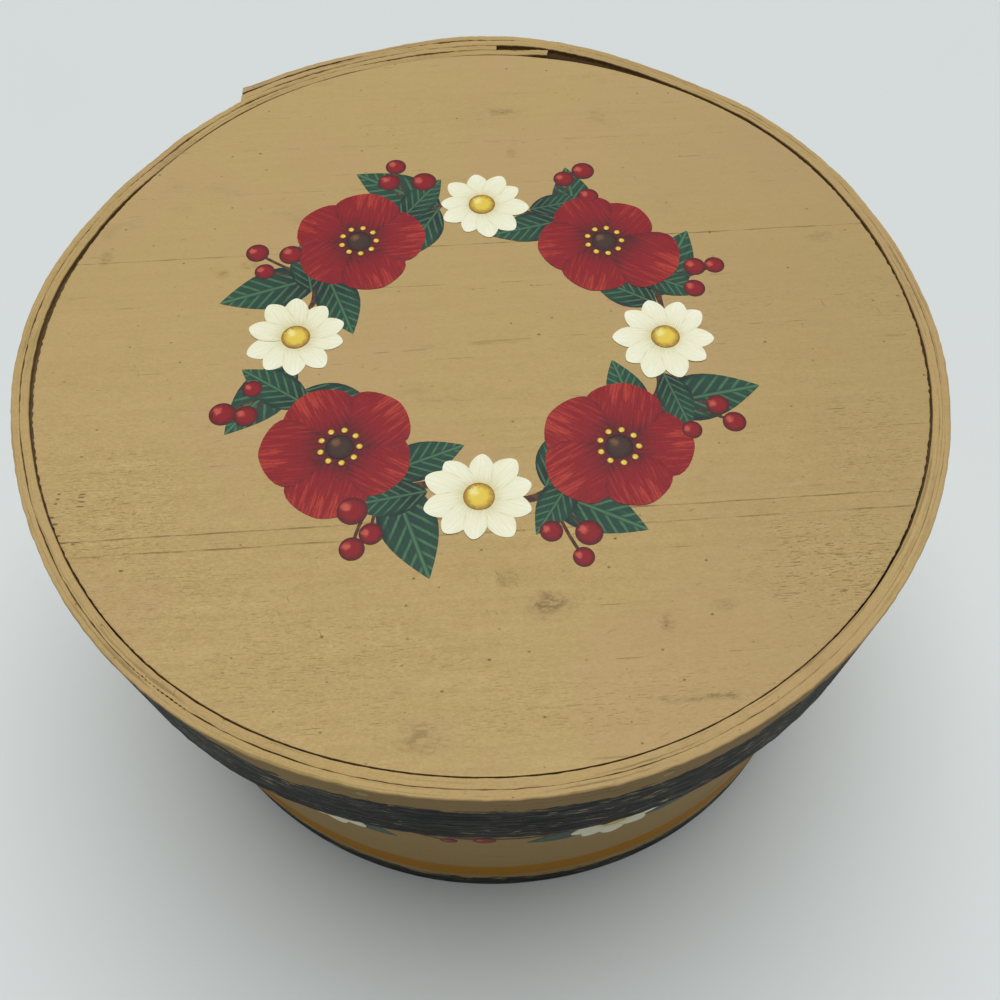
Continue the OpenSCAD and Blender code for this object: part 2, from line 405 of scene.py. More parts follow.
def tan_coat(finish, grain, paints, worn, cracks=0.0, lively=1.0):
    """Tan paint on sawn wood. The grain vector is in metres, with X along the grain. A slow drift, streaks
    and a fine stipple shade the tan. Fine dents along the grain crowd where the paint is worn: dark on one
    side with dirt and painted shade, and light on the other as a painted highlight. Dirt also sits in broken
    lines, pinholes and nicks. Lively scales the fine texture."""
    drift = finish.noise(grain, 9, 3, 0.55)
    streak = finish.drawn(grain, 0.06, 420, 3, 0.6)
    stipple = finish.drawn(grain, 0.55, 1500, 3, 0.78)
    mottle = finish.noise(grain, 150, 5, 0.72)
    fine = (streak - 0.5) * 0.5 + (stipple - 0.5) * (1.2 + 0.8 * worn) + (mottle - 0.5) * 0.4
    shade = 0.5 + (drift - 0.5) * 0.4 + fine * lively
    tone = finish.mix(shade, paints.tan_dark, paints.tan_light)
    elsewhere = finish.stretch(grain, (1, 1, 1), 0.0, (3, 5, 0))
    blush = finish.step(finish.noise(elsewhere, 14, 3, 0.55), 0.40, 0.66)
    tone = finish.mix(blush * 0.45, tone, paints.tan_pink)
    smear = finish.step(finish.drawn(grain, 0.6, 26, 6, 0.74), 0.58, 0.80)
    tone = finish.mix(smear * 0.4, tone, paints.smudge)

    def dents(shift):
        """Short dents along the grain, moved across it."""
        moved = finish.stretch(grain, (0.18, 1, 1), 0.0, (0, shift, 0))
        return finish.step(finish.noise(moved, 1800, 3, 0.6, 0.2), 0.56, 0.70)

    def nicks(lie):
        """Scratches in one direction, here and there."""
        scratch = finish.noise(finish.stretch(grain, (0.12, 1, 1), lie, (lie, 0, 0)), 1300, 1, 0.5)
        struck = finish.noise(finish.stretch(grain, (1, 1, 1), lie), 24, 2, 0.5)
        return finish.step(scratch, 0.75, 0.81) * finish.step(struck, 0.46, 0.60)

    # Each dent is dark on one side, with dirt and painted shade, and a lighter tan on the other as a painted
    # highlight.
    dent_dirt_and_shade = dents(0.0)
    dent_highlight = dents(0.24 * MM) * (1 - dent_dirt_and_shade)
    crowd = 0.18 + 0.82 * worn
    tone = finish.mix(dent_highlight * crowd * 0.55, tone, [part * 1.12 for part in paints.tan_light])
    off_line = finish.math("ABSOLUTE", finish.drawn(grain, 0.012, 60 + 190 * cracks, 2, 0.5) - 0.5)
    broken = finish.step(finish.drawn(grain, 0.25, 300, 3, 0.65), 0.50, 0.66)
    lines = (1 - finish.step(off_line, 0.001, 0.006)) * broken
    cells = {"voronoi_dimensions": "2D"}
    spots = {"Vector": finish.stretch(grain, (0.7, 1, 1)), "Scale": 112}
    chance, width, depth = finish.split(finish.node("ShaderNodeTexVoronoi", cells, spots, "Color"))
    nearness = finish.node("ShaderNodeTexVoronoi", cells, spots, "Distance") / (0.3 + 0.95 * width)
    pinholes = (1 - finish.step(nearness, 0.005, 0.06)) * finish.step(chance, 0.5, 0.51)
    pinholes = pinholes * (0.25 + 0.75 * depth)
    # The dirt mask also holds painted shade, from the dark sides of the dents.
    dirt = dent_dirt_and_shade * crowd * 0.25 + lines * (0.22 + 0.3 * cracks) + pinholes * 0.75
    dirt = finish.math("MINIMUM", dirt + sum(nicks(lie) for lie in NICKS) * 0.36, 0.8)
    coat = finish.mix(dirt, tone, paints.grime_and_shade)
    height = streak * 0.35 + stipple * 0.5 - dent_dirt_and_shade * crowd * 0.7 - lines * 0.5 - pinholes * 0.5
    return coat, height


def bare_wood(finish, grain, paints):
    """Unpainted wood: bands of growth rings drawn out along the grain, crossed by fine fibre and dark
    pores."""
    figure = finish.drawn(grain, 0.07, 85, 4, 0.55, 0.6)
    rings = finish.math("SINE", figure * 70)
    fibre = finish.drawn(grain, 0.04, 900, 3, 0.6)
    pores = finish.step(finish.drawn(grain, 0.1, 1500, 1, 0.5), 0.62, 0.74)
    drift = finish.noise(grain, 14, 3, 0.6)
    shade = 0.42 + rings * 0.2 + (fibre - 0.5) * 1.3 + (drift - 0.5) * 0.9
    wood = finish.mix(finish.step(shade, 0.0, 1.0), paints.bare, paints.bare_dark)
    wood = finish.mix(pores * 0.22, wood, paints.grime_and_shade)
    return wood, fibre * 0.4 + rings * 0.08 - pores * 0.3


def sawn_boards(finish, grain, paints, joints):
    """Bare boards side by side: each has its own figure and tone, and dirt lies in the joints between
    them."""
    along_x, across_y = finish.split(grain)[:2]
    board = sum(finish.step(across_y, joint - 0.05 * MM, joint + 0.05 * MM) for joint in joints)
    own_grain = finish.node("ShaderNodeCombineXYZ", {}, {"X": along_x, "Y": across_y, "Z": board * 0.3})
    wood, height = bare_wood(finish, own_grain, paints)
    wood = finish.mix(finish.math("ABSOLUTE", board - 1) * 0.22, wood, paints.bare_dark)
    uneven = finish.drawn(grain, 0.3, 160, 3, 0.6) - 0.5
    for joint in joints:
        off_joint = finish.math("ABSOLUTE", across_y - joint)
        # Here the mask holds only grime beside the joint.
        gap_shade_and_grime = 1 - finish.step(off_joint + uneven * (3 * MM), 0.1 * MM, 2.2 * MM)
        opened = 1 - finish.step(off_joint + uneven * (0.4 * MM), 0.14 * MM, 0.38 * MM)
        wood = finish.mix(finish.math("MAXIMUM", gap_shade_and_grime * 0.3, opened * 0.9), wood, paints.grime_and_shade)
        height = height - opened
    return wood, height


def charcoal_coat(finish, along, paints):
    """Charcoal paint dragged round with a dry brush: fine black and grey streaks along the stroke, with pale
    scratches where the brush skipped."""
    drag = finish.drawn(along, 0.045, 700, 4, 0.62)
    hairs = finish.drawn(along, 0.06, 2400, 3, 0.7)
    patch = finish.drawn(along, 0.3, 70, 3, 0.6)
    shade = 0.31 + (drag - 0.5) * 4.4 + (hairs - 0.5) * 4.4 + (patch - 0.5) * 1.4
    coal = finish.mix(finish.step(shade, 0.1, 1.1), paints.charcoal, paints.charcoal_dry)
    scratched = finish.noise(finish.stretch(along, (0.13, 1, 1), 0.1), 1000, 2, 0.55, 0.2)
    skips = finish.step(scratched + (patch - 0.5) * 0.5, 0.655, 0.705)
    return finish.mix(skips * 0.85, coal, paints.tan_light), drag * 0.4 + hairs * 0.9


def ragged(finish, along, height, edge, amount):
    """How far a point is below a brushed edge: the edge wanders slowly, ends in long streaks along the stroke
    and leaves islands above it."""
    slow = finish.noise(finish.stretch(along, (1, 0.01, 1)), 26, 3, 0.6) - 0.5
    streaks = finish.drawn(along, 0.16, 300, 4, 0.66) - 0.5
    crumbs = finish.drawn(along, 0.4, 700, 3, 0.6) - 0.5
    return edge - height + (slow * (2.4 * amount) + streaks * (6.0 * amount) + crumbs * (1.6 * amount))


# Marks on the lid in millimetres along and across the grain: middle, half sizes and strength
SMUDGES = (
    (17, 115.5, 9, 2.6, 0.6), (18, 92, 3, 4, 0.3), (55, 111, 6, 6, 0.22),
    (-91, 36, 3, 3, 0.35), (-82, 39, 5, 3, 0.3), (-134, 46, 3, 4, 0.35),
    (128, 38, 6, 3, 0.3), (14, -102, 9, 4, 0.65), (2, -93, 4, 3, 0.5),
    (-27, -139, 12, 6, 0.4), (55, -133.6, 16, 1.5, 0.42), (62, -133.5, 6, 2, 0.5),
    (48, -110, 3, 4, 0.35), (65, -106, 5, 2, 0.35), (-60, -34, 10, 8, 0.15),
)
WORN = (
    (104, -96, 34, 22, 1.0), (125, -50, 20, 30, 0.5), (-120, -62, 26, 24, 0.75), (-95, -92, 40, 14, 0.4),
    (136, 18, 12, 14, 0.25), (-58, -117, 48, 24, 0.45), (12, -133, 55, 15, 0.4),
)
# Single dents on the lid, given the same way without a strength
DENTS = (
    (-129, -53.9, 1.2, 0.3), (-129.2, -55, 1.4, 0.3), (-129, -56.7, 1.3, 0.32), (-129.1, -58.4, 1.5, 0.3),
    (-136.3, -53.4, 0.6, 0.4), (-136.5, -55.2, 0.8, 0.4), (-136.9, -56.9, 0.7, 0.4),
    (-137.5, -61.8, 1.3, 0.5), (-136.3, -64.3, 1.4, 0.5), (-134.5, -68.5, 1.0, 0.5),
    (-113.8, -81.9, 1.0, 0.5), (-131.3, -39.8, 1.0, 0.35),
)


def spread_of(finish, along_x, across_y, mark):
    """How far a point is from a mark's middle, as a share of its half sizes."""
    middle_x, middle_y, half_x, half_y = [part * MM for part in mark[:4]]
    return finish.reach((along_x - middle_x) / half_x, (across_y - middle_y) / half_y)


def board_paint(paints, grain_turn, joints, scores):
    """Top of the lid: tan paint over boards, dark at the joints and in the scores beside them, bare where the
    boards' sawn edges show, and darkened there by painted shade in the gap at the rim."""
    finish = Finish("lid_board_tan_paint")
    grain = finish.stretch(finish.place(), (1, 1, 1), -grain_turn)
    along_x, across_y, level = finish.split(grain)
    cloud = finish.noise(grain, 60, 4, 0.65) - 0.5
    worn = finish.step(finish.noise(grain, 15, 3, 0.6), 0.50, 0.72) * 0.35
    for mark in WORN:
        away = spread_of(finish, along_x, across_y, mark)
        worn = finish.math("MAXIMUM", worn, (1 - finish.step(away + cloud * 1.6, 0.35, 1.15)) * mark[4])
    calm = finish.step(across_y, -90 * MM, 40 * MM)
    left = 1 - finish.step(along_x, -130 * MM, -20 * MM)
    coat, height = tan_coat(finish, grain, paints, worn, 0.0, 1.1 - 0.65 * calm + 0.4 * left * (1 - calm))
    torn_edge = finish.noise(grain, 130, 5, 0.78) - 0.5
    rubbed = finish.step(finish.drawn(grain, 0.45, 620, 4, 0.72), 0.42, 0.60)
    for mark in SMUDGES:
        away = spread_of(finish, along_x, across_y, mark)
        smeared = (1 - finish.step(away + torn_edge * 3.0, 0.1, 1.2)) * (0.2 + 0.8 * rubbed) * mark[4]
        coat = finish.mix(smeared, coat, paints.smudge_dark)
    for mark in DENTS:
        dented = 1 - finish.step(spread_of(finish, along_x, across_y, mark) + torn_edge * 1.2, 0.5, 1.1)
        coat = finish.mix(dented * 0.7, coat, paints.grime_and_shade)
    # The tan grows darker towards the right, mixed with the smudge colour.
    coat = finish.mix(finish.step(along_x, 10 * MM, 150 * MM) * 0.14, coat, paints.smudge)
    broken = finish.step(finish.drawn(grain, 0.2, 380, 4, 0.7), 0.36, 0.66)
    uneven = finish.drawn(grain, 0.3, 160, 3, 0.6) - 0.5
    for line, depth in [(joint, 0.40) for joint in joints] + [(score, 0.5) for score in scores]:
        off_line = finish.math("ABSOLUTE", across_y - line + uneven * (1.2 * MM))
        ruled = (1 - finish.step(off_line, 0.06 * MM, 0.36 * MM)) * (0.12 + 0.88 * broken)
        coat = finish.mix(ruled * depth, coat, paints.grime_and_shade)
        height = height - ruled
    wood = sawn_boards(finish, grain, paints, joints)[0]
    # Painted shade: the boards' sawn edges, down in the gap at the rim, are darkened with the grime colour;
    # the underside is darkened only a little.
    gap_shade_and_grime = 0.1 + 0.5 * finish.step(level, LID_LOW + 0.3 * MM, LID_LOW + 1.5 * MM)
    fray = finish.noise(grain, 900, 3, 0.6) - 0.5
    cover = finish.step(finish.painted() + fray * 0.7, 0.35, 0.6)
    shown = finish.mix(cover, finish.mix(gap_shade_and_grime, wood, paints.grime_and_shade), coat)
    return finish.finish(shown, 0.7 + fray * 0.2, LID_SHEEN, height, PAINT_RELIEF)


def rim_paint(paints):
    """Rim: tan on its top and upper edge with dirt drawn out along it, charcoal dry-brushed round its lower
    part and higher at the front left, bare inside. Painted shade darkens the tan on the outer face below the
    top edge, and the bare wood inside a little. Dirt marks the line between the veneers on top, in short
    stitches at the front left and less where paint fills it at the front right."""
    finish = Finish("rim_banded_paint")
    along = finish.along()
    side_x, side_y, level = finish.split(finish.place())
    heading = finish.math("ARCTAN2", side_y, side_x)
    worn = finish.step(finish.noise(along, 30, 3, 0.6), 0.45, 0.7) * 0.4
    coat, height = tan_coat(finish, along, paints, worn, 0.5)
    stained = finish.drawn(along, 0.012, 1250, 3, 0.6) + (finish.noise(along, 45, 4, 0.7) - 0.5) * 0.40
    coat = finish.mix(finish.step(stained, 0.53, 0.70) * 0.42, coat, paints.grime_and_shade)
    on_top = finish.step(level, RIM_TOP - 1.4 * MM, RIM_TOP - 0.7 * MM)
    puttied = finish.facing(heading, -66, -12, 9)
    seam = (1 - finish.step(finish.painted(), 0.7, 1.0)) * on_top * (1 - 0.55 * puttied)
    patchy = finish.step(finish.drawn(along, 0.05, 90, 3, 0.6), 0.40, 0.60)
    stitch = 1.7 * MM
    uneven = (finish.noise(along, 160, 2, 0.5) - 0.5) * 6
    beat = finish.math("SINE", heading * (TAU * RIM_R / stitch) + uneven)
    stitched = finish.facing(heading, -129.5, -121.5, 0.6)
    coat = finish.mix(seam * (0.3 + 0.4 * patchy) * (1 - stitched), coat, paints.grime_and_shade)
    coat = finish.mix(seam * stitched * finish.step(beat, 0.0, 0.4) * 0.9, coat, paints.charcoal)
    wood = bare_wood(finish, along, paints)[0]
    coal, drag = charcoal_coat(finish, along, paints)
    raised = sum(finish.facing(heading, first, last, 5.5) * (rise * MM) for first, last, rise in BAND_RISES)
    below = ragged(finish, along, level, RIM_BAND_TOP, 2.8 * MM) + raised
    band = finish.step(below, -0.12 * MM, 0.25 * MM) * (1 - on_top)
    # Painted shade: the tan on the outer face below the top edge is darkened with the grime colour.
    painted_outer_shade = (1 - finish.step(level, RIM_TOP - 1.2 * MM, RIM_TOP - 0.2 * MM)) * 0.43
    painted = finish.mix(band, finish.mix(painted_outer_shade, coat, paints.grime_and_shade), coal)
    fray = finish.noise(along, 700, 3, 0.6) - 0.5
    cover = finish.step(finish.painted() + fray * 0.8, 0.35, 0.6)
    # Painted shade: the bare wood inside the rim is darkened a little with the grime colour.
    shown = finish.mix(cover, finish.mix(0.05, wood, paints.grime_and_shade), painted)
    return finish.finish(shown, 0.7 - band * 0.08, BAND_SHEEN, height + drag * band * 0.8, PAINT_RELIEF)


def side_paint(paints):
    """Side: tan darkened all over by painted shade, with an ochre stripe and a charcoal foot brushed round
    it, bare inside.
    """
    finish = Finish("side_striped_paint")
    along = finish.along()
    level = finish.split(finish.place())[2]
    worn = finish.step(finish.noise(along, 12, 3, 0.6), 0.5, 0.75) * 0.6
    coat, height = tan_coat(finish, along, paints, worn, 0.3)
    wood = bare_wood(finish, along, paints)[0]
    coal, drag = charcoal_coat(finish, along, paints)
    foot = finish.step(ragged(finish, along, level, FOOT_TOP, 5 * MM), -0.15 * MM, 0.35 * MM)
    wave = finish.noise(finish.stretch(along, (1, 0.01, 1)), 12, 2, 0.5) - 0.5
    brush = finish.drawn(along, 0.03, 420, 3, 0.6) - 0.5
    stripe = finish.between(level + wave * (5 * MM) + brush * (4 * MM), *STRIPE, 1.8 * MM)
    # Painted shade: the tan all over the side is darkened with the grime colour.
    ochre = finish.mix(stripe * (0.9 + brush * 0.8), finish.mix(0.27, coat, paints.grime_and_shade), paints.ochre)
    painted = finish.mix(foot, ochre, coal)
    fray = finish.noise(along, 700, 3, 0.6) - 0.5
    cover = finish.step(finish.painted() + fray * 0.6, 0.35, 0.6)
    shown = finish.mix(cover, wood, painted)
    return finish.finish(shown, 0.7 - foot * 0.08, BAND_SHEEN, height + drag * foot * 0.8, SIDE_RELIEF)


def bottom_wood(paints, grain_turn, joints):
    """Bottom boards: bare sawn wood, scuffed and a little dirty."""
    finish = Finish("bottom_board_bare_wood")
    grain = finish.stretch(finish.place(), (1, 1, 1), -grain_turn)
    wood, height = sawn_boards(finish, grain, paints, joints)
    scuffs = finish.noise(finish.stretch(grain, (0.5, 1, 1), 0.3), 42, 5, 0.72)
    wood = finish.mix(finish.step(scuffs, 0.52, 0.74) * 0.35, wood, paints.grime_and_shade)
    saw = finish.noise(finish.stretch(grain, (1, 0.03, 1)), 240, 2, 0.5)
    return finish.finish(wood, 0.72 + (saw - 0.5) * 0.2, WOOD_SHEEN, height + saw * 0.5, WOOD_RELIEF)


def iron_wire(paints, name, skin, stripes):
    """Nails and tacks: dull iron with brown rust spots, painted over outside a radius like the wood round
    them: tan, and other paints in stripes given as a lower and an upper level and a colour."""
    finish = Finish(name)
    spot = finish.place()
    rust = finish.step(finish.noise(spot, 1400, 4, 0.65), 0.48, 0.62)
    metal = finish.mix(rust, paints.iron, paints.rust)
    side_x, side_y, level = finish.split(spot)
    # Painted shade: a darker tan on the heads matches the painted shade on the faces round them.
    shaded = [part * 0.62 for part in paints.tan_dark]
    cover = finish.mix(finish.noise(spot, 900, 3, 0.6), shaded, paints.tan_dark)
    for low, high, tone in stripes:
        cover = finish.mix(finish.between(level, low, high, 0.5 * MM), cover, tone)
    chips = finish.step(finish.noise(spot, 1700, 2, 0.5), 0.62, 0.72)
    coated = finish.step(finish.reach(side_x, side_y), skin - 0.2 * MM, skin + 0.2 * MM) * (1 - chips)
    return finish.finish(finish.mix(coated, metal, cover), 0.6 + rust * 0.2, IRON_SHEEN, rust, IRON_RELIEF)


def petal_paint(name, base, dark, light, veins=0.0):
    """Flower paint laid in strokes from a petal's foot to its tip: dark at the foot and light towards the
    tip. The map's U runs from foot to tip and V from side to side. With veins, side strokes leave a
    midrib."""
    finish = Finish(name)
    along = finish.along()
    spread, across = finish.split(along)[:2]
    spot = finish.place()
    where = finish.noise(spot, 30, 2, 0.5) - 0.5
    strokes = finish.noise(finish.stretch(along, (0.5, 3.0, 1)), 3.6, 5, 0.7, 0.3) + where * 0.25
    grit = finish.noise(spot, 1100, 3, 0.6)
    side = finish.math("ABSOLUTE", across)
    foot = 1 - finish.step(spread, 0.02, 0.66)
    edge = finish.step(side, 0.66, 1.0)
    deep = foot * 0.85 + edge * 0.30 + (0.5 - strokes) * 1.9
    tone = finish.mix(finish.step(deep, 0.05, 0.85), base, dark)
    lit = finish.step(strokes + (spread - 0.6) * 0.22 + (grit - 0.5) * 0.15, 0.53, 0.70) * (1 - foot)
    if veins:
        slant = finish.math("SINE", (spread - side * 0.30) * veins + where * 5.0)
        ribs = finish.step(slant + (grit - 0.5) * 0.8, 0.35, 1.0) * finish.step(side, 0.04, 0.14)
        ribs = ribs * (1 - finish.step(side, 0.55, 0.95)) * (0.15 + strokes * 0.9)
        midrib = (1 - finish.step(side, 0.02, 0.08)) * (0.35 + strokes * 0.6)
        lit = finish.math("MAXIMUM", ribs, finish.math("MAXIMUM", midrib, lit * 0.18))
    tone = finish.mix(lit * 0.75, tone, light)
    return finish.finish(tone, 0.5 + (grit - 0.5) * 0.2, FLOWER_SHEEN, strokes + grit * 0.4, FLOWER_RELIEF)


def blob_paint(name, base, dark, light):
    """Paint dabbed in a round blob: dark at the rim, with one light dab off its middle."""
    finish = Finish(name)
    spread, across = finish.split(finish.along())[:2]
    grit = finish.noise(finish.place(), 800, 4, 0.65)
    rim = finish.step(finish.reach(spread, across) + (grit - 0.5) * 0.5, 0.45, 1.05)
    tone = finish.mix(rim, base, dark)
    off_dab = finish.reach(spread + 0.32, across - 0.34)
    dab = 1 - finish.step(off_dab + (grit - 0.5) * 0.6, 0.1, 0.46)
    return finish.finish(finish.mix(dab * 0.75, tone, light), 0.5, FLOWER_SHEEN, grit, FLOWER_RELIEF)


def stem_paint(paints):
    """Stems: thin brown paint with lighter streaks."""
    finish = Finish("stem_brown_paint")
    streak = finish.noise(finish.place(), 700, 3, 0.6)
    tone = finish.mix(finish.step(streak, 0.4, 0.75), paints.brown, paints.stem_light)
    return finish.finish(tone, 0.55, FLOWER_SHEEN, streak, FLOWER_RELIEF)


# The wooden pieces


# Whole waves round the bent rim, as measured on it: how many, millimetres and the direction of a crest
RIM_WAVES = (
    (1, 0.72, 3), (2, 0.63, 39), (3, 0.44, -58), (4, 0.22, -21), (5, 0.26, -33),
    (6, 0.33, -6), (7, 0.27, -25), (8, 0.19, -5), (9, 0.15, 6),
)
# Bell-shaped rises round the box: millimetres, or the share of a fully open crack, and the middle and width
# in degrees
LID_GAPS = ((1.5, 174, 19), (0.35, -20, 24), (0.25, 16, 16), (0.75, 50, 22), (0.3, 80, 4), (-0.42, 106, 24),
            (-0.22, -54, 20))
OPEN_CRACKS = ((0.6, -113, 9), (0.75, 203, 20), (-0.7, -38, 22), (0.5, 62, 9))
SIDE_SPLAY = ((2.6, -43, 35),)
RIM_LEAN = 0.9 * MM


def bells(turn, rises):
    """The sum of some bell-shaped rises at each direction."""
    total = 0 * turn
    for amount, middle, width in rises:
        off = np.angle(np.exp(1j * (turn - math.radians(middle))))
        total = total + amount * np.exp(-(off / math.radians(width)) ** 2)
    return total


def out_of_round(turn):
    """How far the bent rim departs from a circle: a little room all round and whole waves."""
    waves = [amount * np.cos(count * (turn - math.radians(crest))) for count, amount, crest in RIM_WAVES]
    return (0.31 + sum(waves)) * MM


def squeezed(turn):
    """Share of its thickness that a veneer keeps: less where tacks pull the lap's four veneers together."""
    return 1 - bells(turn, ((0.13, 113, 9.5),))


def side_wave(turn):
    """How far the bent side departs from the lid's circle: it stands a little to the right in its loose lid,
    and has three whole waves."""
    waves = 0.25 * np.cos(2 * turn - 0.6) + 0.18 * np.cos(3 * turn + 1.1) + 0.1 * np.cos(7 * turn)
    return 2.2 * MM * np.cos(turn + 0.17) + waves * MM


def lap_lift(left):
    """How far the outer end of the side's lap lifts, by the angle left before the end."""
    return 0.2 * MM * ease(1 - left / math.radians(6))


def side_outside(turn, sizes):
    """Radius of the side's outside: its waves and, before the outer end of the lap, the end's slight lift."""
    end = sizes.side_lap_at + sizes.side_lap / SIDE_R / 2
    return SIDE_R + side_wave(turn) + lap_lift(np.mod(end - turn, TAU))


def lean(points):
    """Points of the rim moved to the right with their depth under its top, as the rim hangs a little
    askew."""
    aside = RIM_LEAN * (RIM_TOP - points[..., 2]) / (RIM_TOP - RIM_LOW)
    return points + aside[..., None] * np.array([1, 0, 0])


def splay(points):
    """Points of the side moved outwards towards its foot, where the bent wood has opened at the front
    right."""
    turn = np.arctan2(points[..., 1], points[..., 0])
    outwards = np.stack([np.cos(turn), np.sin(turn), 0 * turn], -1)
    amount = bells(turn, SIDE_SPLAY) * MM * np.clip(1 - points[..., 2] / RIM_LOW, 0, 1)
    return points + amount[..., None] * outwards


def band_profile(faces):
    """A rounded rectangle as four columns of numbers: shares of the width and of the height, and the corner
    circle's direction. It runs up the outside, in over the top, down the inside and out along the bottom.
    Faces gives the points up the sides, closer near the edges, and across the edges."""
    tall, wide = faces
    bend = np.linspace(0, math.pi / 2, 4)[1:-1]
    up = (1 - np.cos(np.linspace(0, math.pi, tall))) / 2
    over = np.linspace(1, 0, wide)
    one = np.ones
    columns = [
        (one(tall), up, one(tall), 0 * up),
        (one(2), one(2), np.cos(bend), np.sin(bend)),
        (over, one(wide), 0 * over, one(wide)),
        (0 * bend, one(2), -np.sin(bend), np.cos(bend)),
        (0 * up, 1 - up, -one(tall), 0 * up),
        (0 * bend, 0 * bend, -np.cos(bend), -np.sin(bend)),
        (1 - over, 0 * over, 0 * over, -one(wide)),
        (one(2), 0 * bend, np.sin(bend), -np.cos(bend)),
    ]
    return [np.concatenate(part) for part in zip(*columns)]


def bent_band(turn, inside, outside, low, high, corners, faces, skew=0.0, pivot=0.0):
    """A strip bent round the axis: at each turn a rounded rectangle between two radii and two heights, with
    one corner radius inside and one outside. Where it is skew, its section is turned by so much for each
    metre outside the pivot radius. Returns points, faces, a map of metres along and around the strip, and the
    profile's height shares and corner directions."""
    across, upward, corner_r, corner_z = band_profile(faces)
    corner = corners[0] + (corners[1] - corners[0]) * across
    column = lambda row: np.asarray(row)[:, None]
    width = column(outside - inside) - 2 * corner
    height = column(high - low) - 2 * corner
    radius = column(inside) + corner + across * width + corner * corner_r
    level = column(low) + corner + upward * height + corner * corner_z
    heading = column(turn) + column(skew + 0 * turn) * (radius - pivot)
    points = np.stack([radius * np.cos(heading), radius * np.sin(heading), level], -1)
    rows, columns = radius.shape
    middle = points[[0, -1]].mean(1)
    loop = np.arange(columns)
    sides = grid_faces(rows, columns, around=True)
    caps = [fan_faces(loop, rows * columns),
            fan_faces(loop + (rows - 1) * columns, rows * columns + 1, flip=True)]
    middle_row = rows // 2
    walk = np.linalg.norm(np.diff(points[middle_row], axis=0, append=points[middle_row][:1]), axis=1)
    around = np.concatenate([[0], np.cumsum(walk)[:-1]])
    lengthwise = column(turn) * np.mean(outside)
    uv = np.stack(np.broadcast_arrays(lengthwise, around[None, :]), -1).reshape(-1, 2)
    uv = np.concatenate([uv, uv[[0, -1]]])
    points = np.concatenate([points.reshape(-1, 3), middle])
    return points, [sides, *caps], uv, (upward, corner_r, corner_z)


def rim_inside(turn, sizes):
    """Radius of the rim's inside: level once round, then up the climb over its own start, then along the
    lap."""
    climb = ease((turn - TAU - sizes.climb_from) / (sizes.climb_to - sizes.climb_from))
    rise = 2 * (sizes.ply * squeezed(turn) + sizes.glue)
    return RIM_R - 2 * sizes.ply - sizes.glue + out_of_round(turn) + climb * rise


def make_rim_ply(name, start, outer, sizes, material, seed):
    """One veneer of the rim, the outer one or the inner one: a rounded rectangle carried round the rim's
    path, with uneven edges and a little relief along the grain. Paint fills the crack between the veneers in
    places and leaves it open in others. Both veneers spring outwards at the lap's end, which is cut askew,
    and the inner one also at its start."""
    step = sizes.mesh_step * 2 / 3
    end = TAU + sizes.rim_end
    turn = np.linspace(start, end, int((end - start) * RIM_R / step))
    count = len(turn)
    rough = lambda grain, number: wander(count, step, grain, seed + number)
    last = lambda degrees: ease(1 - (end - turn) / math.radians(degrees))
    ply = sizes.ply * squeezed(turn)
    inside = rim_inside(turn, sizes) + 0.04 * MM * rough(5 * MM, 2)
    if outer:
        inside = inside + ply + sizes.glue + (0.5 * last(16) + 0.45 * last(5)) * MM
        outside = inside + ply + 0.05 * MM * rough(6 * MM, 3)
        corners = (0.26 * MM, 0.6 * MM)
    else:
        lifted = 1.4 * MM * (1 - ease((turn - start) / math.radians(4.5)))
        inside = inside + 0.25 * MM * last(4) - 0.2 * MM * last(40) + lifted
        opened = bells(turn, OPEN_CRACKS) + last(24) + 0.3 * rough(30 * MM, 1) + 0.15 * rough(4 * MM, 8)
        opened = np.clip(opened, 0, 1)
        filled = sizes.glue + 0.14 * MM
        outside = inside + ply + filled * (1 - opened) - sizes.crack * opened
        corners = (0.4 * MM, 0.26 * MM)
    high = RIM_TOP - 0.15 * MM + 0.16 * MM * rough(30 * MM, 4) + 0.05 * MM * rough(2 * MM, 5)
    low = RIM_LOW + 0.2 * MM + 0.12 * MM * rough(24 * MM, 6) + 0.06 * MM * rough(2 * MM, 7)
    skew = -math.radians(0.265) / MM * last(3)
    points, faces, uv, profile = bent_band(
        turn, inside, outside, low, high, corners, (14, 7), skew, RIM_R + 2.3 * MM)
    upward, corner_r, corner_z = profile
    top = np.clip(corner_z, 0, 1) ** 2
    joint_side = np.clip(-corner_r if outer else corner_r, 0, 1) * (corner_z > 0.1)
    painted = np.clip(top * 2.0 + (corner_r > 0.3) * outer + (upward > 0.985) * 0.8, 0, 1) - 0.5 * joint_side
    painted = np.tile(painted, (count, 1))
    painted[0] = np.maximum(painted[0], upward > 0.8)
    painted = np.append(np.maximum(painted, last(2.5)[:, None]), [0, 1])
    return make_piece(name, lean(points), faces, material, "lid", (name,), uv, painted)


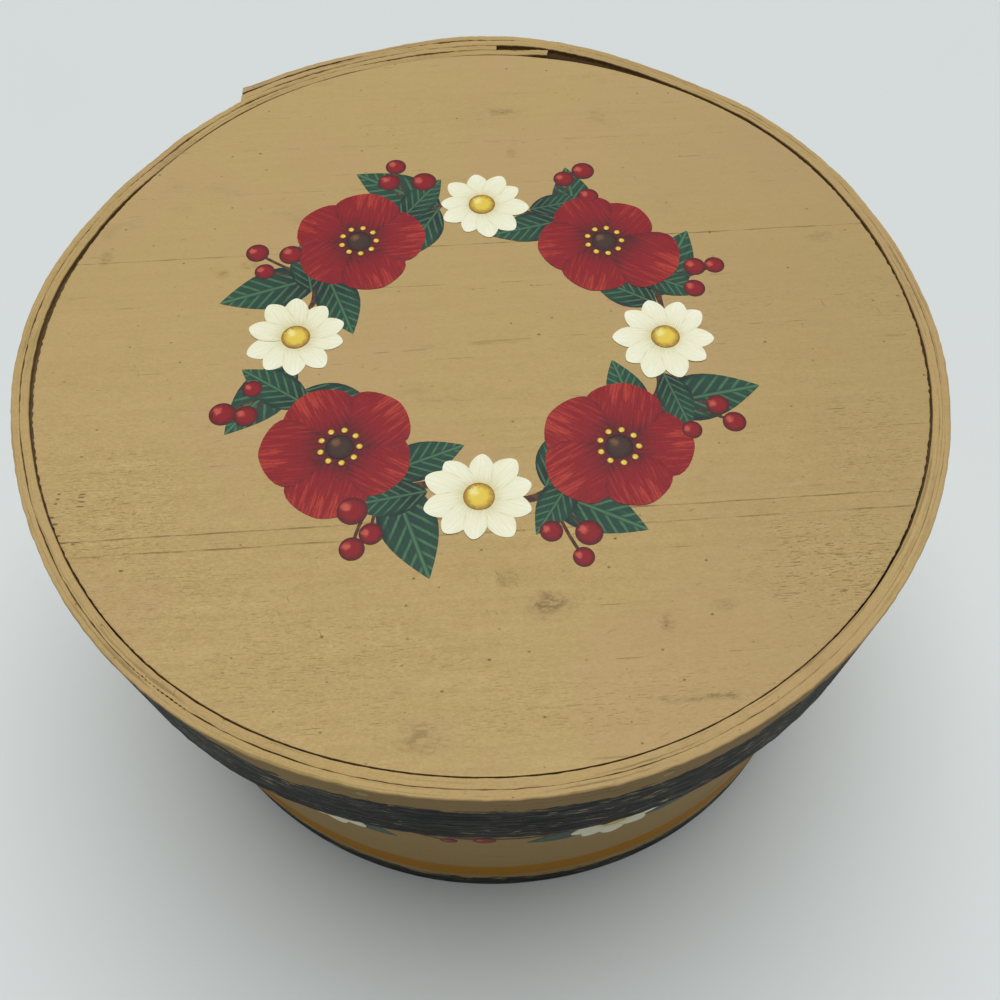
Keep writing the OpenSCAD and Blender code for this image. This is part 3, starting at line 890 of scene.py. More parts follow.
def make_side(sizes, material):
    """The bent side: a rounded rectangle carried once round and over its own lap. In the lap each end is
    skived, so one thins from the outside and the other from the inside, with a saw line between them."""
    half = sizes.side_lap / SIDE_R / 2
    start = sizes.side_lap_at - half
    end = sizes.side_lap_at + half
    inner = SIDE_R - sizes.side
    skived = sizes.side - 2 * sizes.side_tip
    saw = 0.1 * MM
    nick = 0.15 * MM / SIDE_R
    step = 1.4 * sizes.mesh_step
    even = np.linspace(start, TAU + end, int((TAU + end - start) * SIDE_R / step))
    turn = np.sort(np.concatenate([even, [end - nick, end, TAU + start - nick, TAU + start]]))
    count = len(turn)
    rough = lambda grain, number: wander(count, step, grain, 60 + number)
    first = np.clip((turn - start) / (end - start), 0, 1)
    last = np.clip((turn - TAU - start) / (end - start), 0, 1)
    moved = side_wave(turn) + lap_lift(TAU + end - turn)
    outside = np.where(turn < end, inner + sizes.side_tip + first * skived - saw, SIDE_R)
    outside = outside + moved + 0.012 * MM * rough(8 * MM, 1) * (turn >= end)
    inside = np.where(turn >= TAU + start, inner + sizes.side_tip + last * skived + saw, inner) + moved
    high = SIDE_TOP - 0.08 * MM + 0.06 * MM * np.clip(rough(20 * MM, 2), -1, 1)
    low = 0.12 * MM * np.clip(1 + rough(14 * MM, 3), 0, 2)
    corners = (0.35 * MM, 0.35 * MM)
    points, faces, uv, profile = bent_band(turn, inside, outside, low, high, corners, (28, 4))
    corner_r, corner_z = profile[1:]
    painted = np.clip((corner_r > 0.3) + (corner_z > 0.5) * 0.45, 0, 1)
    painted = np.concatenate([np.tile(painted, count), [0.2, 0.9]])
    return make_piece("side_wall", splay(points), faces, material, "box", ("side_wall",), uv,
                      painted)


def lid_gap(turn):
    """Room between the lid's boards and the rim at the boards' face."""
    return (0.45 + bells(turn, LID_GAPS)) * MM


def lid_edge(turn):
    """Radius of the lid's boards: the rim's own waves less the gap."""
    return LID_R + 1.2 * MM + out_of_round(turn) - lid_gap(turn)


def bottom_edge(turn):
    """Radius of the bottom's boards: the side's own waves and its splay at the foot."""
    return BOTTOM_R + side_wave(turn) + bells(turn, SIDE_SPLAY) * 0.97 * MM


def make_board(name, radius, joints, low, high, turn, edge_at, flare, sizes, material, body, fray,
               seed):
    """One board of a round head. The face is a grid of chords: across the grain a point lies at the radius
    times the sine of one parameter, and along the grain at the chord's half length times the other. The edge
    is a row of rings from the upper face to the lower one. Near it the wood is drawn to the head's real
    outline, frayed, and flared towards the lower face."""
    edge = 0.3 * MM
    tip = math.pi / 2 - 0.6 * MM / radius
    ends = [math.asin(np.clip(joint / radius, -1, 1)) for joint in joints]
    ends = [max(ends[0], -tip), min(ends[1], tip)]
    rows = max(int((ends[1] - ends[0]) * radius / sizes.mesh_step), 2)
    columns = int(2 * radius / (1.25 * sizes.mesh_step))
    slope = np.linspace(*ends, rows)
    chord = np.linspace(-1, 1, columns)

    def outline_grid(inset):
        """The face's grid, drawn in from the outline by an inset."""
        x = chord[None, :] * (radius * np.cos(slope)[:, None] - inset)
        y = np.broadcast_to(radius * np.sin(slope)[:, None], x.shape)
        span = (y.min() + y.max()) / 2
        reach = (y.max() - y.min()) / 2
        return np.stack([x, span + (y - span) * (1 - 0.04 * inset / reach)], -1)

    face = outline_grid(edge)
    numbers = np.arange(rows * columns).reshape(rows, columns)
    loop = np.concatenate([numbers[0, :-1], numbers[:-1, -1], numbers[-1, :0:-1], numbers[:0:-1, 0]])
    count = len(loop)
    ring = outline_grid(0.0).reshape(-1, 2)[loop]
    drops = edge * np.array([0.35, 1, 3])
    levels = np.concatenate([high - drops, [(low + high) / 2], low + drops[::-1]])
    hoops = len(levels)
    shrink = np.ones((hoops, 1, 1))
    shrink[[0, -1]] -= 0.28 * edge / radius
    rings = np.concatenate([ring * shrink, np.broadcast_to(levels[:, None, None], (hoops, count, 1))], -1)
    dents = wander(rows, sizes.mesh_step, 5 * MM, seed)[:, None] * 0.012 * MM
    upper = np.concatenate([face, np.broadcast_to(high + dents, (rows, columns))[..., None]], -1)
    lower = np.concatenate([face, np.full((rows, columns, 1), low)], -1)
    points = np.concatenate([part.reshape(-1, 3) for part in (upper, rings, lower)])

    heading = np.arctan2(points[:, 1], points[:, 0])
    reach = np.hypot(points[:, 0], points[:, 1])
    near_edge = ease((reach / radius - 0.93) / 0.06)
    end_grain = np.cos(heading) ** 4
    torn = (0.02 + 0.13 * end_grain) * MM * wander_round(heading, radius, 0.9 * MM, 302 + seed)
    depth = ease((high - points[:, 2]) / (0.6 * (high - low)))
    spread = edge_at(heading + turn) - radius + fray * torn * (1 - 0.6 * depth)
    spread = spread + flare(heading + turn) * depth
    points[:, :2] *= (1 + near_edge * spread / np.maximum(reach, MM))[:, None]
    x, y = points[:, :2].T.copy()
    points[:, 0] = x * math.cos(turn) - y * math.sin(turn)
    points[:, 1] = x * math.sin(turn) + y * math.cos(turn)

    top = rows * columns
    under = top + hoops * count
    stack = np.arange(hoops)[:, None] * count + np.arange(count) + top
    stack = np.concatenate([loop[None], stack, loop[None] + under])
    walls = [stack[:-1], stack[1:], np.roll(stack[1:], -1, 1), np.roll(stack[:-1], -1, 1)]
    faces = [grid_faces(rows, columns)[:, ::-1], np.stack(walls, -1).reshape(-1, 4),
             grid_faces(rows, columns) + under]
    on_joint = np.hypot(*ring.T) < radius - 1 * MM
    covered = np.zeros((hoops, count))
    covered[0] = 0.8 + 0.2 * on_joint
    covered[1] = 0.4 + 0.5 * on_joint
    painted = np.concatenate([np.ones(top), covered.ravel(), np.zeros(top)])
    return make_piece(name, points, faces, material, body, (name,), None, painted)


def board_ends(radius, seam, sizes):
    """Where each board of a head starts and ends across the grain."""
    return {
        "front": (-radius, sizes.front_joint - seam),
        "middle": (sizes.front_joint + seam, sizes.back_joint - seam),
        "back": (sizes.back_joint + seam, radius),
    }


def fan(start, end, count):
    """Middles of equal parts of the stretch between two directions."""
    return start + (end - start) * (np.arange(count) + 0.5) / count


def joint_turns(radius, grain, sizes):
    """Where the joints between the boards meet a head's edge, counter-clockwise from the back right."""
    back = math.asin(sizes.back_joint / radius)
    front = math.asin(sizes.front_joint / radius)
    return grain + back, grain + math.pi - back, grain + math.pi - front, grain + TAU + front


# Thickness of the nails and of the tacks, and the length of a tack's clinched end
NAIL = 1.8 * MM
TACK = 1.2 * MM
CLINCH = 5 * MM


def make_pins(name, turn, level, outside, through, clinch, thick, material, body):
    """Nails or tacks driven in towards the axis. A circle is carried along a path that runs inwards from the
    head and, for a clinched tack, bends upwards where it comes out. The circle's radius draws the low dome of
    the head, its edge, the shank and the point."""
    sides = 14
    head = 1.9 * MM
    proud = 0.16 * MM
    neck = 0.6 * MM
    dome = np.linspace(0, 1, 6)[1:]
    inward = np.concatenate([-proud * np.sqrt(1 - 0.98 * dome ** 2), [0.25 * MM, 0.5 * MM, neck]])
    turn, level, outside, through = np.broadcast_arrays(turn, level, outside, through)
    if clinch:
        bend = np.linspace(0, math.pi / 2, 7)[1:]
        curve = thick * 0.8
        late = np.concatenate([[0.0], curve * np.sin(bend), np.full(5, curve)])
        late = through[:, None] - 0.3 * curve + late
        rise = np.concatenate([[0.0], curve * (1 - np.cos(bend)), curve + clinch * np.linspace(0.2, 1, 5)])
        taper = np.concatenate([np.ones(8), [0.95, 0.8, 0.55, 0.2]])
    else:
        reach = np.linspace(0, 1, 12)[1:]
        late = neck + (through[:, None] - neck) * reach
        rise = 0 * reach
        taper = np.where(reach < 0.85, 1, (1 - reach) / 0.15 + 0.02)
    radius = np.concatenate([head * dome, [head * 0.97, head * 0.6, thick / 2], thick / 2 * taper])
    depth = np.concatenate([np.tile(inward, (len(turn), 1)), late], 1)
    height = np.concatenate([0 * inward, rise])
    rows = len(radius)
    slope_in = np.gradient(depth, axis=1)
    slope_up = np.broadcast_to(np.gradient(height), depth.shape)
    size = np.maximum(np.hypot(slope_in, slope_up), 1e-9)
    away = np.linspace(TAU, 0, sides, endpoint=False)
    aside = radius[None, :, None] * np.sin(away)
    swing = radius[None, :, None] * np.cos(away)
    distance = (outside[:, None] - depth)[:, :, None] + swing * (slope_up / size)[:, :, None]
    z = (level[:, None] + height)[:, :, None] + swing * (slope_in / size)[:, :, None]
    cos, sin = np.cos(turn)[:, None, None], np.sin(turn)[:, None, None]
    points = np.stack([distance * cos - aside * sin, distance * sin + aside * cos, z], -1)
    crown = outside + proud
    hubs = np.stack([crown * np.cos(turn), crown * np.sin(turn), level], -1)
    ends = points[:, -1].mean(1)
    points = np.concatenate([points.reshape(len(turn), -1, 3), hubs[:, None], ends[:, None]], 1)
    loop = np.arange(sides)
    top = rows * sides
    one = [grid_faces(rows, sides, around=True), fan_faces(loop, top),
           fan_faces(loop + top - sides, top + 1, flip=True)]
    points = lean(points) if body == "lid" else splay(points)
    return make_piece(name, points, repeated(one, len(turn), top + 2), material, body, (name,))


# The painted flowers


# How deep the lines and petals reach into the wood, and the round dabs
SINK = 0.12 * MM
DAB_SINK = 0.3 * MM
# Thickness of the paint
LINE_PAINT = 0.07 * MM
LEAF_PAINT = 0.05 * MM
PETAL_PAINT = 0.06 * MM
# Length, half width, belly and point of the petals and leaves
RED_PETAL = (25 * MM, 12.5 * MM, 1.55, 0.62)
CREAM_PETAL = (17 * MM, 4.3 * MM, 1.45, 0.6)
LID_LEAF = (36 * MM, 9 * MM, 0.82, 0.95)
SIDE_LEAF = (28 * MM, 6.6 * MM, 0.82, 0.95)
# Radius and thickness of the round dabs
BERRY = (3.9 * MM, 0.08 * MM)
CENTRE = (5 * MM, 0.2 * MM)
HEART = (4.6 * MM, 0.12 * MM)


def petal_outline(size, half, belly, point, count=18):
    """Outline of a petal or leaf that grows along X from nought: the half width is the sine of a power of the
    way along, so belly moves the widest place and point sharpens the tip."""
    way = (1 - np.cos(np.linspace(0, math.pi, count))) / 2
    width = half * np.sin(math.pi * way ** belly) ** point
    lower = np.stack([size * way, -width], -1)
    return np.concatenate([lower, (lower * [1, -1])[-2:0:-1]])


def disc_outline(radius, count=28):
    """Outline of a round dab."""
    turn = np.linspace(0, TAU, count, endpoint=False)
    return radius * np.stack([np.cos(turn), np.sin(turn)], -1)


def film(outline, thick, sink):
    """A dab of paint: rings drawn in from an outline to its middle, domed on top, closed flat underneath.
    Returns points, faces and, for each point, its place between outline and middle."""
    shares = np.array([1.0, 1.0, 0.95, 0.8, 0.5, 0.2])
    heights = np.array([-sink, 0.35 * thick, 0.8 * thick, 0.97 * thick, thick, thick])
    middle = outline.mean(0)
    flat = middle + shares[:, None, None] * (outline - middle)
    count = len(outline)
    level = np.broadcast_to(heights[:, None, None], (len(shares), count, 1))
    rings = np.concatenate([flat, level], -1).reshape(-1, 3)
    hubs = np.array([[*middle, -sink], [*middle, thick]])
    loop = np.arange(count)
    sides = grid_faces(len(shares), count, around=True)[:, ::-1]
    top = fan_faces(loop + (len(shares) - 1) * count, len(rings) + 1)
    under = fan_faces(loop, len(rings), flip=True)
    return np.concatenate([rings, hubs]), [sides, top, under]


def copies(outline, thick, sink, places, uv_size):
    """One dab of paint repeated. Each place is x, y, turn, scale and the height it is laid at. Returns
    points, faces and a map whose U and V are the dab's own X and Y over the given sizes."""
    points, faces = film(outline, thick, sink)
    x, y, turn, scale, lift = np.asarray(places, float).T[:, :, None]
    cos, sin = np.cos(turn) * scale, np.sin(turn) * scale
    moved = np.stack([x + points[:, 0] * cos - points[:, 1] * sin,
                      y + points[:, 0] * sin + points[:, 1] * cos,
                      lift + points[:, 2]], -1)
    uv = np.tile(points[:, :2] / uv_size, (len(places), 1))
    return moved.reshape(-1, 3), repeated(faces, len(places), len(points)), uv


def petals(size, half, belly, point, thick, places):
    """One petal or leaf repeated, with a map of its length and its half width."""
    return copies(petal_outline(size, half, belly, point), thick, SINK, places, (size, half))


def dabs(radius, thick, places):
    """One round dab repeated, with a map of its radius."""
    return copies(disc_outline(radius), thick, DAB_SINK, places, (radius, radius))


def ribbon(path, half, lift):
    """A painted line: a low arched section carried along a path in the plane, closed at both ends."""
    step = np.gradient(path, axis=0)
    side = np.stack([-step[:, 1], step[:, 0]], -1) / np.linalg.norm(step, axis=1)[:, None]
    across = np.array([1, 1, 0.55, -0.55, -1, -1])
    level = np.array([-SINK, 0.3 * LINE_PAINT, LINE_PAINT, LINE_PAINT, 0.3 * LINE_PAINT, -SINK]) + lift
    flat = path[:, None, :] + side[:, None, :] * (across[:, None] * half[:, None, None])
    count = len(across)
    rings = np.concatenate([flat, np.broadcast_to(level[None, :, None], (len(path), count, 1))], -1)
    hubs = rings[[0, -1]].mean(1)
    points = rings.reshape(-1, 3)
    loop = np.arange(count)
    faces = [grid_faces(len(path), count, around=True)[:, ::-1],
             fan_faces(loop, len(points), flip=True),
             fan_faces(loop + len(points) - count, len(points) + 1)]
    return np.concatenate([points, hubs]), faces


def gather(parts):
    """Joins lists of points and faces into one."""
    points = np.concatenate([part[0] for part in parts])
    shifts = np.concatenate([[0], np.cumsum([len(part[0]) for part in parts])[:-1]])
    faces = [face + shift for part, shift in zip(parts, shifts) for face in part[1]]
    return points, faces


def on_lid(points):
    """Lays flat paint on the lid: height above the boards' face."""
    return points + np.array([0, 0, LID_FACE])


def on_side(points, sizes):
    """Wraps flat paint round the side: X goes round it and Y up it."""
    turn = points[:, 0] / SIDE_R
    radius = side_outside(turn, sizes) + points[:, 2]
    return splay(np.stack([radius * np.cos(turn), radius * np.sin(turn), points[:, 1]], -1))


def flower_places(spots, count, scale, lift, seed):
    """Places of the petals of some flowers. Each spot is x, y and turn. Later petals lie over earlier
    ones."""
    draw = np.random.default_rng(seed)
    places = []
    for x, y, turn in spots:
        jitter = draw.normal(0, 1, (count, 2))
        for number in range(count):
            places.append((x, y, turn + TAU * number / count + 0.05 * jitter[number, 0],
                           scale * (1 + 0.05 * jitter[number, 1]), lift + 0.022 * MM * number))
    return places


def make_flowers(prefix, lay, body, finishes, layout):
    """Lays the dabs and lines of one painted design on a surface, one object for each paint."""
    for name, (points, faces, uv) in layout.items():
        make_piece(prefix + name, lay(points), faces, finishes[name], body, (), uv)


WREATH_R = 64 * MM


def at(direction, reach):
    """A flat point by its direction and its distance from nought."""
    return reach * math.cos(direction), reach * math.sin(direction)


def lid_wreath():
    """A wreath on the lid: a wavy stem with red and cream flowers by turns, leaves on both sides of it and
    berries between them."""
    draw = np.random.default_rng(7)
    turn = np.linspace(0, TAU, 361)
    wavy = WREATH_R + 2.2 * MM * np.sin(8 * turn) + 0.8 * MM * np.sin(19 * turn + 1)
    circle = np.stack([wavy * np.cos(turn), wavy * np.sin(turn)], -1)
    twigs = [ribbon(circle, 1.1 * MM * (1 + 0.25 * np.sin(23 * turn)), 0.03 * MM)]
    quarter = TAU / 4
    reds = [(*at(quarter * (k + 0.5), WREATH_R), quarter * (k + 0.5) + 0.3 * k) for k in range(4)]
    creams = [(*at(quarter * k, WREATH_R), quarter * k + 0.2 * k) for k in range(4)]
    leaves, berries = [], []
    for k in range(8):
        middle = TAU / 8 * (k + 0.5)
        for side, slant, size in ((1, 0.75, 1.0), (-1, 0.85, 0.8), (1, -0.55, 0.72)):
            shift = 0.06 * draw.standard_normal(3)
            base = middle - 0.10 * np.sign(slant) + shift[0]
            heading = base + quarter * np.sign(slant) - side * slant + shift[1]
            lift = 0.05 * MM + 0.02 * MM * (len(leaves) % 3)
            leaves.append((*at(base, WREATH_R), heading, size * (1 + shift[2]), lift))
        for number, (bend, reach) in enumerate(((0.02, 20), (-0.11, 15.5), (-0.03, 27))):
            tip = np.array(at(middle + bend + 0.02 * draw.standard_normal(), WREATH_R + reach * MM))
            root = np.array(at(middle - 0.04, WREATH_R))
            way = np.linspace(0, 1, 14)[:, None]
            bow = np.array([-(tip - root)[1], (tip - root)[0]]) * 0.18 * math.sin(3 * number + k)
            path = root + (tip - root) * way + bow * way * (1 - way) * 2
            twigs.append(ribbon(path, np.full(14, 0.55 * MM), 0.04 * MM))
            berries.append((*tip, TAU * draw.random() * 0.1, 1 + 0.12 * draw.standard_normal(), 0.14 * MM))
    stamens = np.array([at(TAU * k / 9, 6.4 * MM) for k in range(9)])
    centres = [(x, y, 0, 1, 0.38 * MM) for x, y, way in creams]
    centres += [(x + off_x, y + off_y, k, 0.22, 0.3 * MM)
                for x, y, way in reds for k, (off_x, off_y) in enumerate(stamens)]
    stems, stem_faces = gather(twigs)
    return {
        "stems": (stems, stem_faces, stems[:, :2]),
        "leaves": petals(*LID_LEAF, LEAF_PAINT, leaves),
        "red_petals": petals(*RED_PETAL, PETAL_PAINT, flower_places(reds, 5, 1, 0.14 * MM, 3)),
        "cream_petals": petals(*CREAM_PETAL, PETAL_PAINT, flower_places(creams, 10, 1, 0.14 * MM, 4)),
        "berries": dabs(*BERRY, berries),
        "centres": dabs(*CENTRE, centres),
        "hearts": dabs(*HEART, [(x, y, 0, 1, 0.30 * MM) for x, y, way in reds]),
    }


BORDER_COUNT = 9
BORDER_Z = 92 * MM


def side_border():
    """A border round the side: cream flowers, each between two pairs of leaves, with berries by turns."""
    draw = np.random.default_rng(17)
    pitch = TAU * SIDE_R / BORDER_COUNT
    first = -TAU / 4 * SIDE_R - pitch * 0.55
    flowers, leaves, berries, twigs = [], [], [], []
    for k in range(BORDER_COUNT):
        x = first + pitch * k
        y = BORDER_Z + 1.5 * MM * draw.standard_normal()
        flowers.append((x, y, 0.4 * k))
        for heading in (0.42, -0.38, math.pi - 0.42, math.pi + 0.38):
            way = heading + 0.08 * draw.standard_normal()
            off_x, off_y = at(way, 8 * MM)
            lift = 0.03 * MM + 0.02 * MM * (len(leaves) % 3)
            leaves.append((x + off_x, y + off_y, way, 0.92 + 0.06 * draw.standard_normal(), lift))
        for across, rise in ((0.5, 7), (0.44, -6), (0.56, -3.5)):
            spot = (x + across * pitch, BORDER_Z + rise * MM)
            berries.append((*spot, 0.2 * draw.standard_normal(), 1 + 0.1 * draw.standard_normal(), 0.12 * MM))
            way = np.linspace(0, 1, 12)[:, None]
            root = np.array([x + 0.30 * pitch, BORDER_Z])
            path = root + (np.array(spot) - root) * way + np.array([0, 3 * MM]) * way * (1 - way)
            twigs.append(ribbon(path, np.full(12, 0.55 * MM), 0.05 * MM))
        way = np.linspace(-0.5, 0.5, 40)[:, None]
        vine = np.concatenate([x + way * pitch, BORDER_Z + 2.5 * MM * np.sin(way * TAU)], -1)
        twigs.append(ribbon(vine, np.full(40, 0.8 * MM), 0.05 * MM))
    stems, stem_faces = gather(twigs)
    return {
        "stems": (stems, stem_faces, stems[:, :2]),
        "leaves": petals(*SIDE_LEAF, LEAF_PAINT, leaves),
        "cream_petals": petals(*CREAM_PETAL, PETAL_PAINT, flower_places(flowers, 10, 1.05, 0.12 * MM, 9)),
        "berries": dabs(*BERRY, berries),
        "centres": dabs(*CENTRE, [(x, y, 0, 1, 0.36 * MM) for x, y, way in flowers]),
    }


# The add-on


class CheeseBoxStep:
    """What the operators share."""

    bl_options = {"REGISTER", "UNDO"}

    def setup(self, context):
        settings = context.scene
        return settings.cheesebox_sizes, settings.cheesebox_paints


class CHEESEBOX_OT_lid_boards(CheeseBoxStep, bpy.types.Operator):
    """Make the three painted boards of the lid's head"""

    bl_idname = "cheesebox.lid_boards"
    bl_label = "Lid Boards"

    def execute(self, context):
        sizes, paints = self.setup(context)
        material = board_paint(paints, sizes.lid_grain, (sizes.front_joint, sizes.back_joint),
                               (sizes.front_joint - 5.7 * MM,))
        flare = lambda turn: np.maximum(lid_gap(turn) - 0.1 * MM, 0)
        for seed, (place, ends) in enumerate(board_ends(LID_R, 0.01 * MM, sizes).items()):
            make_board(f"lid_{place}_board", LID_R, ends, LID_LOW, LID_FACE, sizes.lid_grain, lid_edge, flare,
                       sizes, material, "lid", 1.0, seed)
        return {"FINISHED"}


class CHEESEBOX_OT_rim(CheeseBoxStep, bpy.types.Operator):
    """Make the two bent veneers of the lid's rim"""

    bl_idname = "cheesebox.rim"
    bl_label = "Rim"

    def execute(self, context):
        sizes, paints = self.setup(context)
        material = rim_paint(paints)
        make_rim_ply("rim_inner_ply", sizes.inner_start, 0, sizes, material, 20)
        make_rim_ply("rim_outer_ply", sizes.outer_start, 1, sizes, material, 40)
        return {"FINISHED"}


class CHEESEBOX_OT_side(CheeseBoxStep, bpy.types.Operator):
    """Make the bent side with its skived lap"""

    bl_idname = "cheesebox.side"
    bl_label = "Side"

    def execute(self, context):
        sizes, paints = self.setup(context)
        make_side(sizes, side_paint(paints))
        return {"FINISHED"}


class CHEESEBOX_OT_bottom_boards(CheeseBoxStep, bpy.types.Operator):
    """Make the three bare boards of the bottom"""

    bl_idname = "cheesebox.bottom_boards"
    bl_label = "Bottom Boards"

    def execute(self, context):
        sizes, paints = self.setup(context)
        material = bottom_wood(paints, sizes.bottom_grain, (sizes.front_joint, sizes.back_joint))
        for seed, (place, ends) in enumerate(board_ends(BOTTOM_R, sizes.glue / 2, sizes).items()):
            make_board(f"bottom_{place}_board", BOTTOM_R, ends, 0.0, BOTTOM_TOP, sizes.bottom_grain,
                       bottom_edge, np.zeros_like, sizes, material, "box", 0.3, 10 + seed)
        return {"FINISHED"}


class CHEESEBOX_OT_fastenings(CheeseBoxStep, bpy.types.Operator):
    """Make the nails of both heads and the clinched tacks of both laps"""

    bl_idname = "cheesebox.fastenings"
    bl_label = "Fastenings"

    def execute(self, context):
        sizes, paints = self.setup(context)
        rim_outside = lambda turn: rim_inside(turn, sizes) + 2 * sizes.ply * squeezed(turn) + sizes.glue
        back_right, back_left, front_left, front_right = joint_turns(LID_R, sizes.lid_grain, sizes)
        spots = np.concatenate([fan(sizes.rim_end, back_left, 2), fan(back_left, front_left, 2),
                                fan(front_left, front_right, 4), fan(front_right, back_right + TAU, 2),
                                fan(back_right, sizes.climb_from, 2) + TAU])
        stripes = ((RIM_LOW, RIM_BAND_TOP, paints.charcoal),)
        rim_iron = iron_wire(paints, "rim_iron", RIM_R - 3.5 * MM, stripes)
        make_pins("rim_nails", spots, (LID_LOW + LID_TOP) / 2, rim_outside(spots), 20 * MM, 0.0, NAIL,
                  rim_iron, "lid")
        lap = np.repeat(np.radians([98, 118]), 3) + TAU
        lap_out = rim_outside(lap)
        levels = np.tile([138.3 * MM, 151 * MM, 163.7 * MM], 2)
        make_pins("rim_lap_tacks", lap, levels, lap_out, lap_out - rim_inside(lap - TAU, sizes), CLINCH, TACK,
                  rim_iron, "lid")
        stripes = ((-1 * MM, FOOT_TOP, paints.charcoal), (*STRIPE, paints.ochre))
        side_iron = iron_wire(paints, "side_iron", SIDE_R - 3 * MM, stripes)
        wall = np.repeat(np.radians([92.3, 103.7]), 5)
        levels = np.tile([25 * MM, 57 * MM, 90 * MM, 122 * MM, 154 * MM], 2)
        make_pins("side_lap_tacks", wall, levels, side_outside(wall, sizes), sizes.side, CLINCH, TACK,
                  side_iron, "box")
        back_right, back_left, front_left, front_right = joint_turns(BOTTOM_R, sizes.bottom_grain, sizes)
        foot = np.concatenate([fan(back_right, back_left, 5), fan(back_left, front_left, 2),
                               fan(front_left, front_right, 4), fan(front_right, back_right + TAU, 2)])
        make_pins("bottom_nails", foot, BOTTOM_TOP / 2, side_outside(foot, sizes), 22 * MM, 0.0, NAIL,
                  side_iron, "box")
        return {"FINISHED"}


class CHEESEBOX_OT_flowers(CheeseBoxStep, bpy.types.Operator):
    """Paint a wreath on the lid and a border of flowers round the side"""

    bl_idname = "cheesebox.flowers"
    bl_label = "Painted Flowers"

    def execute(self, context):
        sizes, paints = self.setup(context)
        leaf_veins = 46
        finishes = {
            "stems": stem_paint(paints),
            "leaves": petal_paint(
                "leaf_green_paint", paints.green, paints.green_dark, paints.green_light, leaf_veins),
            "red_petals": petal_paint("petal_red_paint", paints.red, paints.red_dark, paints.red_light),
            "cream_petals": petal_paint(
                "petal_cream_paint", paints.cream, paints.cream_shade, paints.cream_light),
            "berries": blob_paint("berry_red_paint", paints.red, paints.red_dark, paints.berry_light),
            "centres": blob_paint(
                "centre_yellow_paint", paints.yellow, paints.yellow_dark, paints.yellow_light),
            "hearts": blob_paint("heart_dark_paint", paints.brown, paints.brown_dark, paints.brown_light),
        }
        on_curve = lambda points: on_side(points, sizes)
        make_flowers("lid_paint_", on_lid, "lid", finishes, lid_wreath())
        make_flowers("side_paint_", on_curve, "box", finishes, side_border())
        return {"FINISHED"}


# Colours of the lamp and the sky, and the strength of the backdrop
LAMP_TINT = (0.955, 0.99, 1.0)
SKY_TINT = (1.0, 0.93, 0.8, 1)
BACKDROP = 0.97


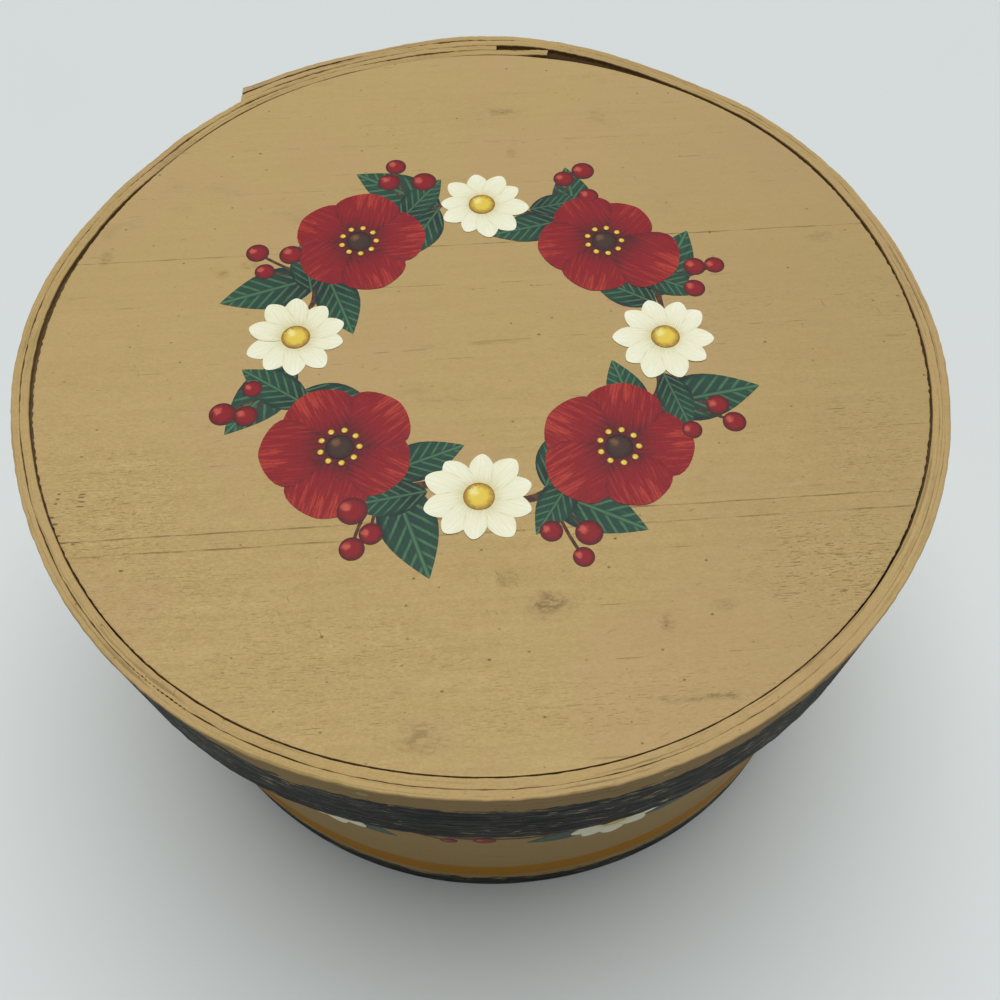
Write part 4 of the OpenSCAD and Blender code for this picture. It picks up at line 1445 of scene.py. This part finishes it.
class CHEESEBOX_OT_stage(CheeseBoxStep, bpy.types.Operator):
    """Set up the floor, the light and the camera"""

    bl_idname = "cheesebox.stage"
    bl_label = "Stage"

    def execute(self, context):
        scene = context.scene
        stage = scene.cheesebox_stage
        reach = 6.0
        corners = [(-reach, -reach, 0), (reach, -reach, 0), (reach, reach, 0), (-reach, reach, 0)]
        mesh = bpy.data.meshes.new("floor")
        mesh.from_pydata(corners, [], [(0, 1, 2, 3)])
        finish = Finish("pale_sheet")
        weave = finish.noise(finish.place(), 6, 3, 0.5)
        tone = finish.mix(weave, [part * 0.97 for part in stage.floor], stage.floor)
        mesh.materials.append(finish.finish(tone, 0.9, FLOOR_SHEEN))
        floor = bpy.data.objects.new("floor", mesh)
        scene.collection.objects.link(floor)

        lamp = bpy.data.lights.new("overhead_lamp", "SUN")
        lamp.energy = stage.lamp
        lamp.angle = stage.lamp_width
        lamp.color = LAMP_TINT
        lamp_object = bpy.data.objects.new("overhead_lamp", lamp)
        lamp_object.location = (0, 0, 1)
        lamp_object.rotation_euler = (-stage.lamp_back, stage.lamp_right, 0)
        scene.collection.objects.link(lamp_object)

        studio = Finish("studio", world=True)
        light = studio.node("ShaderNodeBackground", {}, {"Color": SKY_TINT, "Strength": stage.sky})
        lit_floor = (*(np.array(stage.floor) * lamp.color), 1)
        backdrop = studio.node("ShaderNodeBackground", {}, {"Color": lit_floor, "Strength": BACKDROP})
        seen = studio.node("ShaderNodeLightPath", output="Is Camera Ray")
        for ray in ("Is Glossy Ray", "Is Transmission Ray"):
            seen = studio.math("MAXIMUM", seen, studio.node("ShaderNodeLightPath", output=ray))
        shown = studio.node("ShaderNodeMixShader", {}, {0: seen, 1: light, 2: backdrop})
        studio.node("ShaderNodeOutputWorld", {}, {"Surface": shown})
        scene.world = studio.owner
        scene.view_settings.view_transform = "Standard"

        camera = bpy.data.cameras.new("camera")
        camera.sensor_width = 36
        camera.lens = 36
        camera.clip_start = 0.01
        camera_object = bpy.data.objects.new("camera", camera)
        camera_object.location = (stage.eye_right, -stage.eye_front, stage.eye_height)
        camera_object.rotation_euler = (math.pi / 2 - stage.eye_pitch, 0, stage.eye_roll)
        scene.collection.objects.link(camera_object)
        scene.camera = camera_object
        return {"FINISHED"}


STEPS = (CHEESEBOX_OT_stage, CHEESEBOX_OT_lid_boards, CHEESEBOX_OT_rim, CHEESEBOX_OT_side,
         CHEESEBOX_OT_bottom_boards, CHEESEBOX_OT_fastenings, CHEESEBOX_OT_flowers)


class CHEESEBOX_PT_sidebar(bpy.types.Panel):
    """Lists the steps that make the cheese box"""

    bl_idname = "CHEESEBOX_PT_sidebar"
    bl_label = "Cheese Box"
    bl_space_type = "VIEW_3D"
    bl_region_type = "UI"
    bl_category = "Cheese Box"

    def draw(self, context):
        for step in STEPS:
            self.layout.operator(step.bl_idname)


GROUPS = {
    "cheesebox_sizes": CheeseBoxSizes,
    "cheesebox_paints": CheeseBoxPaints,
    "cheesebox_stage": CheeseBoxStage,
}


def register():
    for made in (*GROUPS.values(), *STEPS, CHEESEBOX_PT_sidebar):
        bpy.utils.register_class(made)
    for name, group in GROUPS.items():
        setattr(bpy.types.Scene, name, bpy.props.PointerProperty(type=group))


def unregister():
    for name in GROUPS:
        delattr(bpy.types.Scene, name)
    for made in (CHEESEBOX_PT_sidebar, *reversed(STEPS), *GROUPS.values()):
        bpy.utils.unregister_class(made)


def main():
    register()
    bpy.ops.cheesebox.stage()
    bpy.ops.cheesebox.lid_boards()
    bpy.ops.cheesebox.rim()
    bpy.ops.cheesebox.side()
    bpy.ops.cheesebox.bottom_boards()
    bpy.ops.cheesebox.fastenings()
    bpy.ops.cheesebox.flowers()


if __name__ == "__main__":
    main()
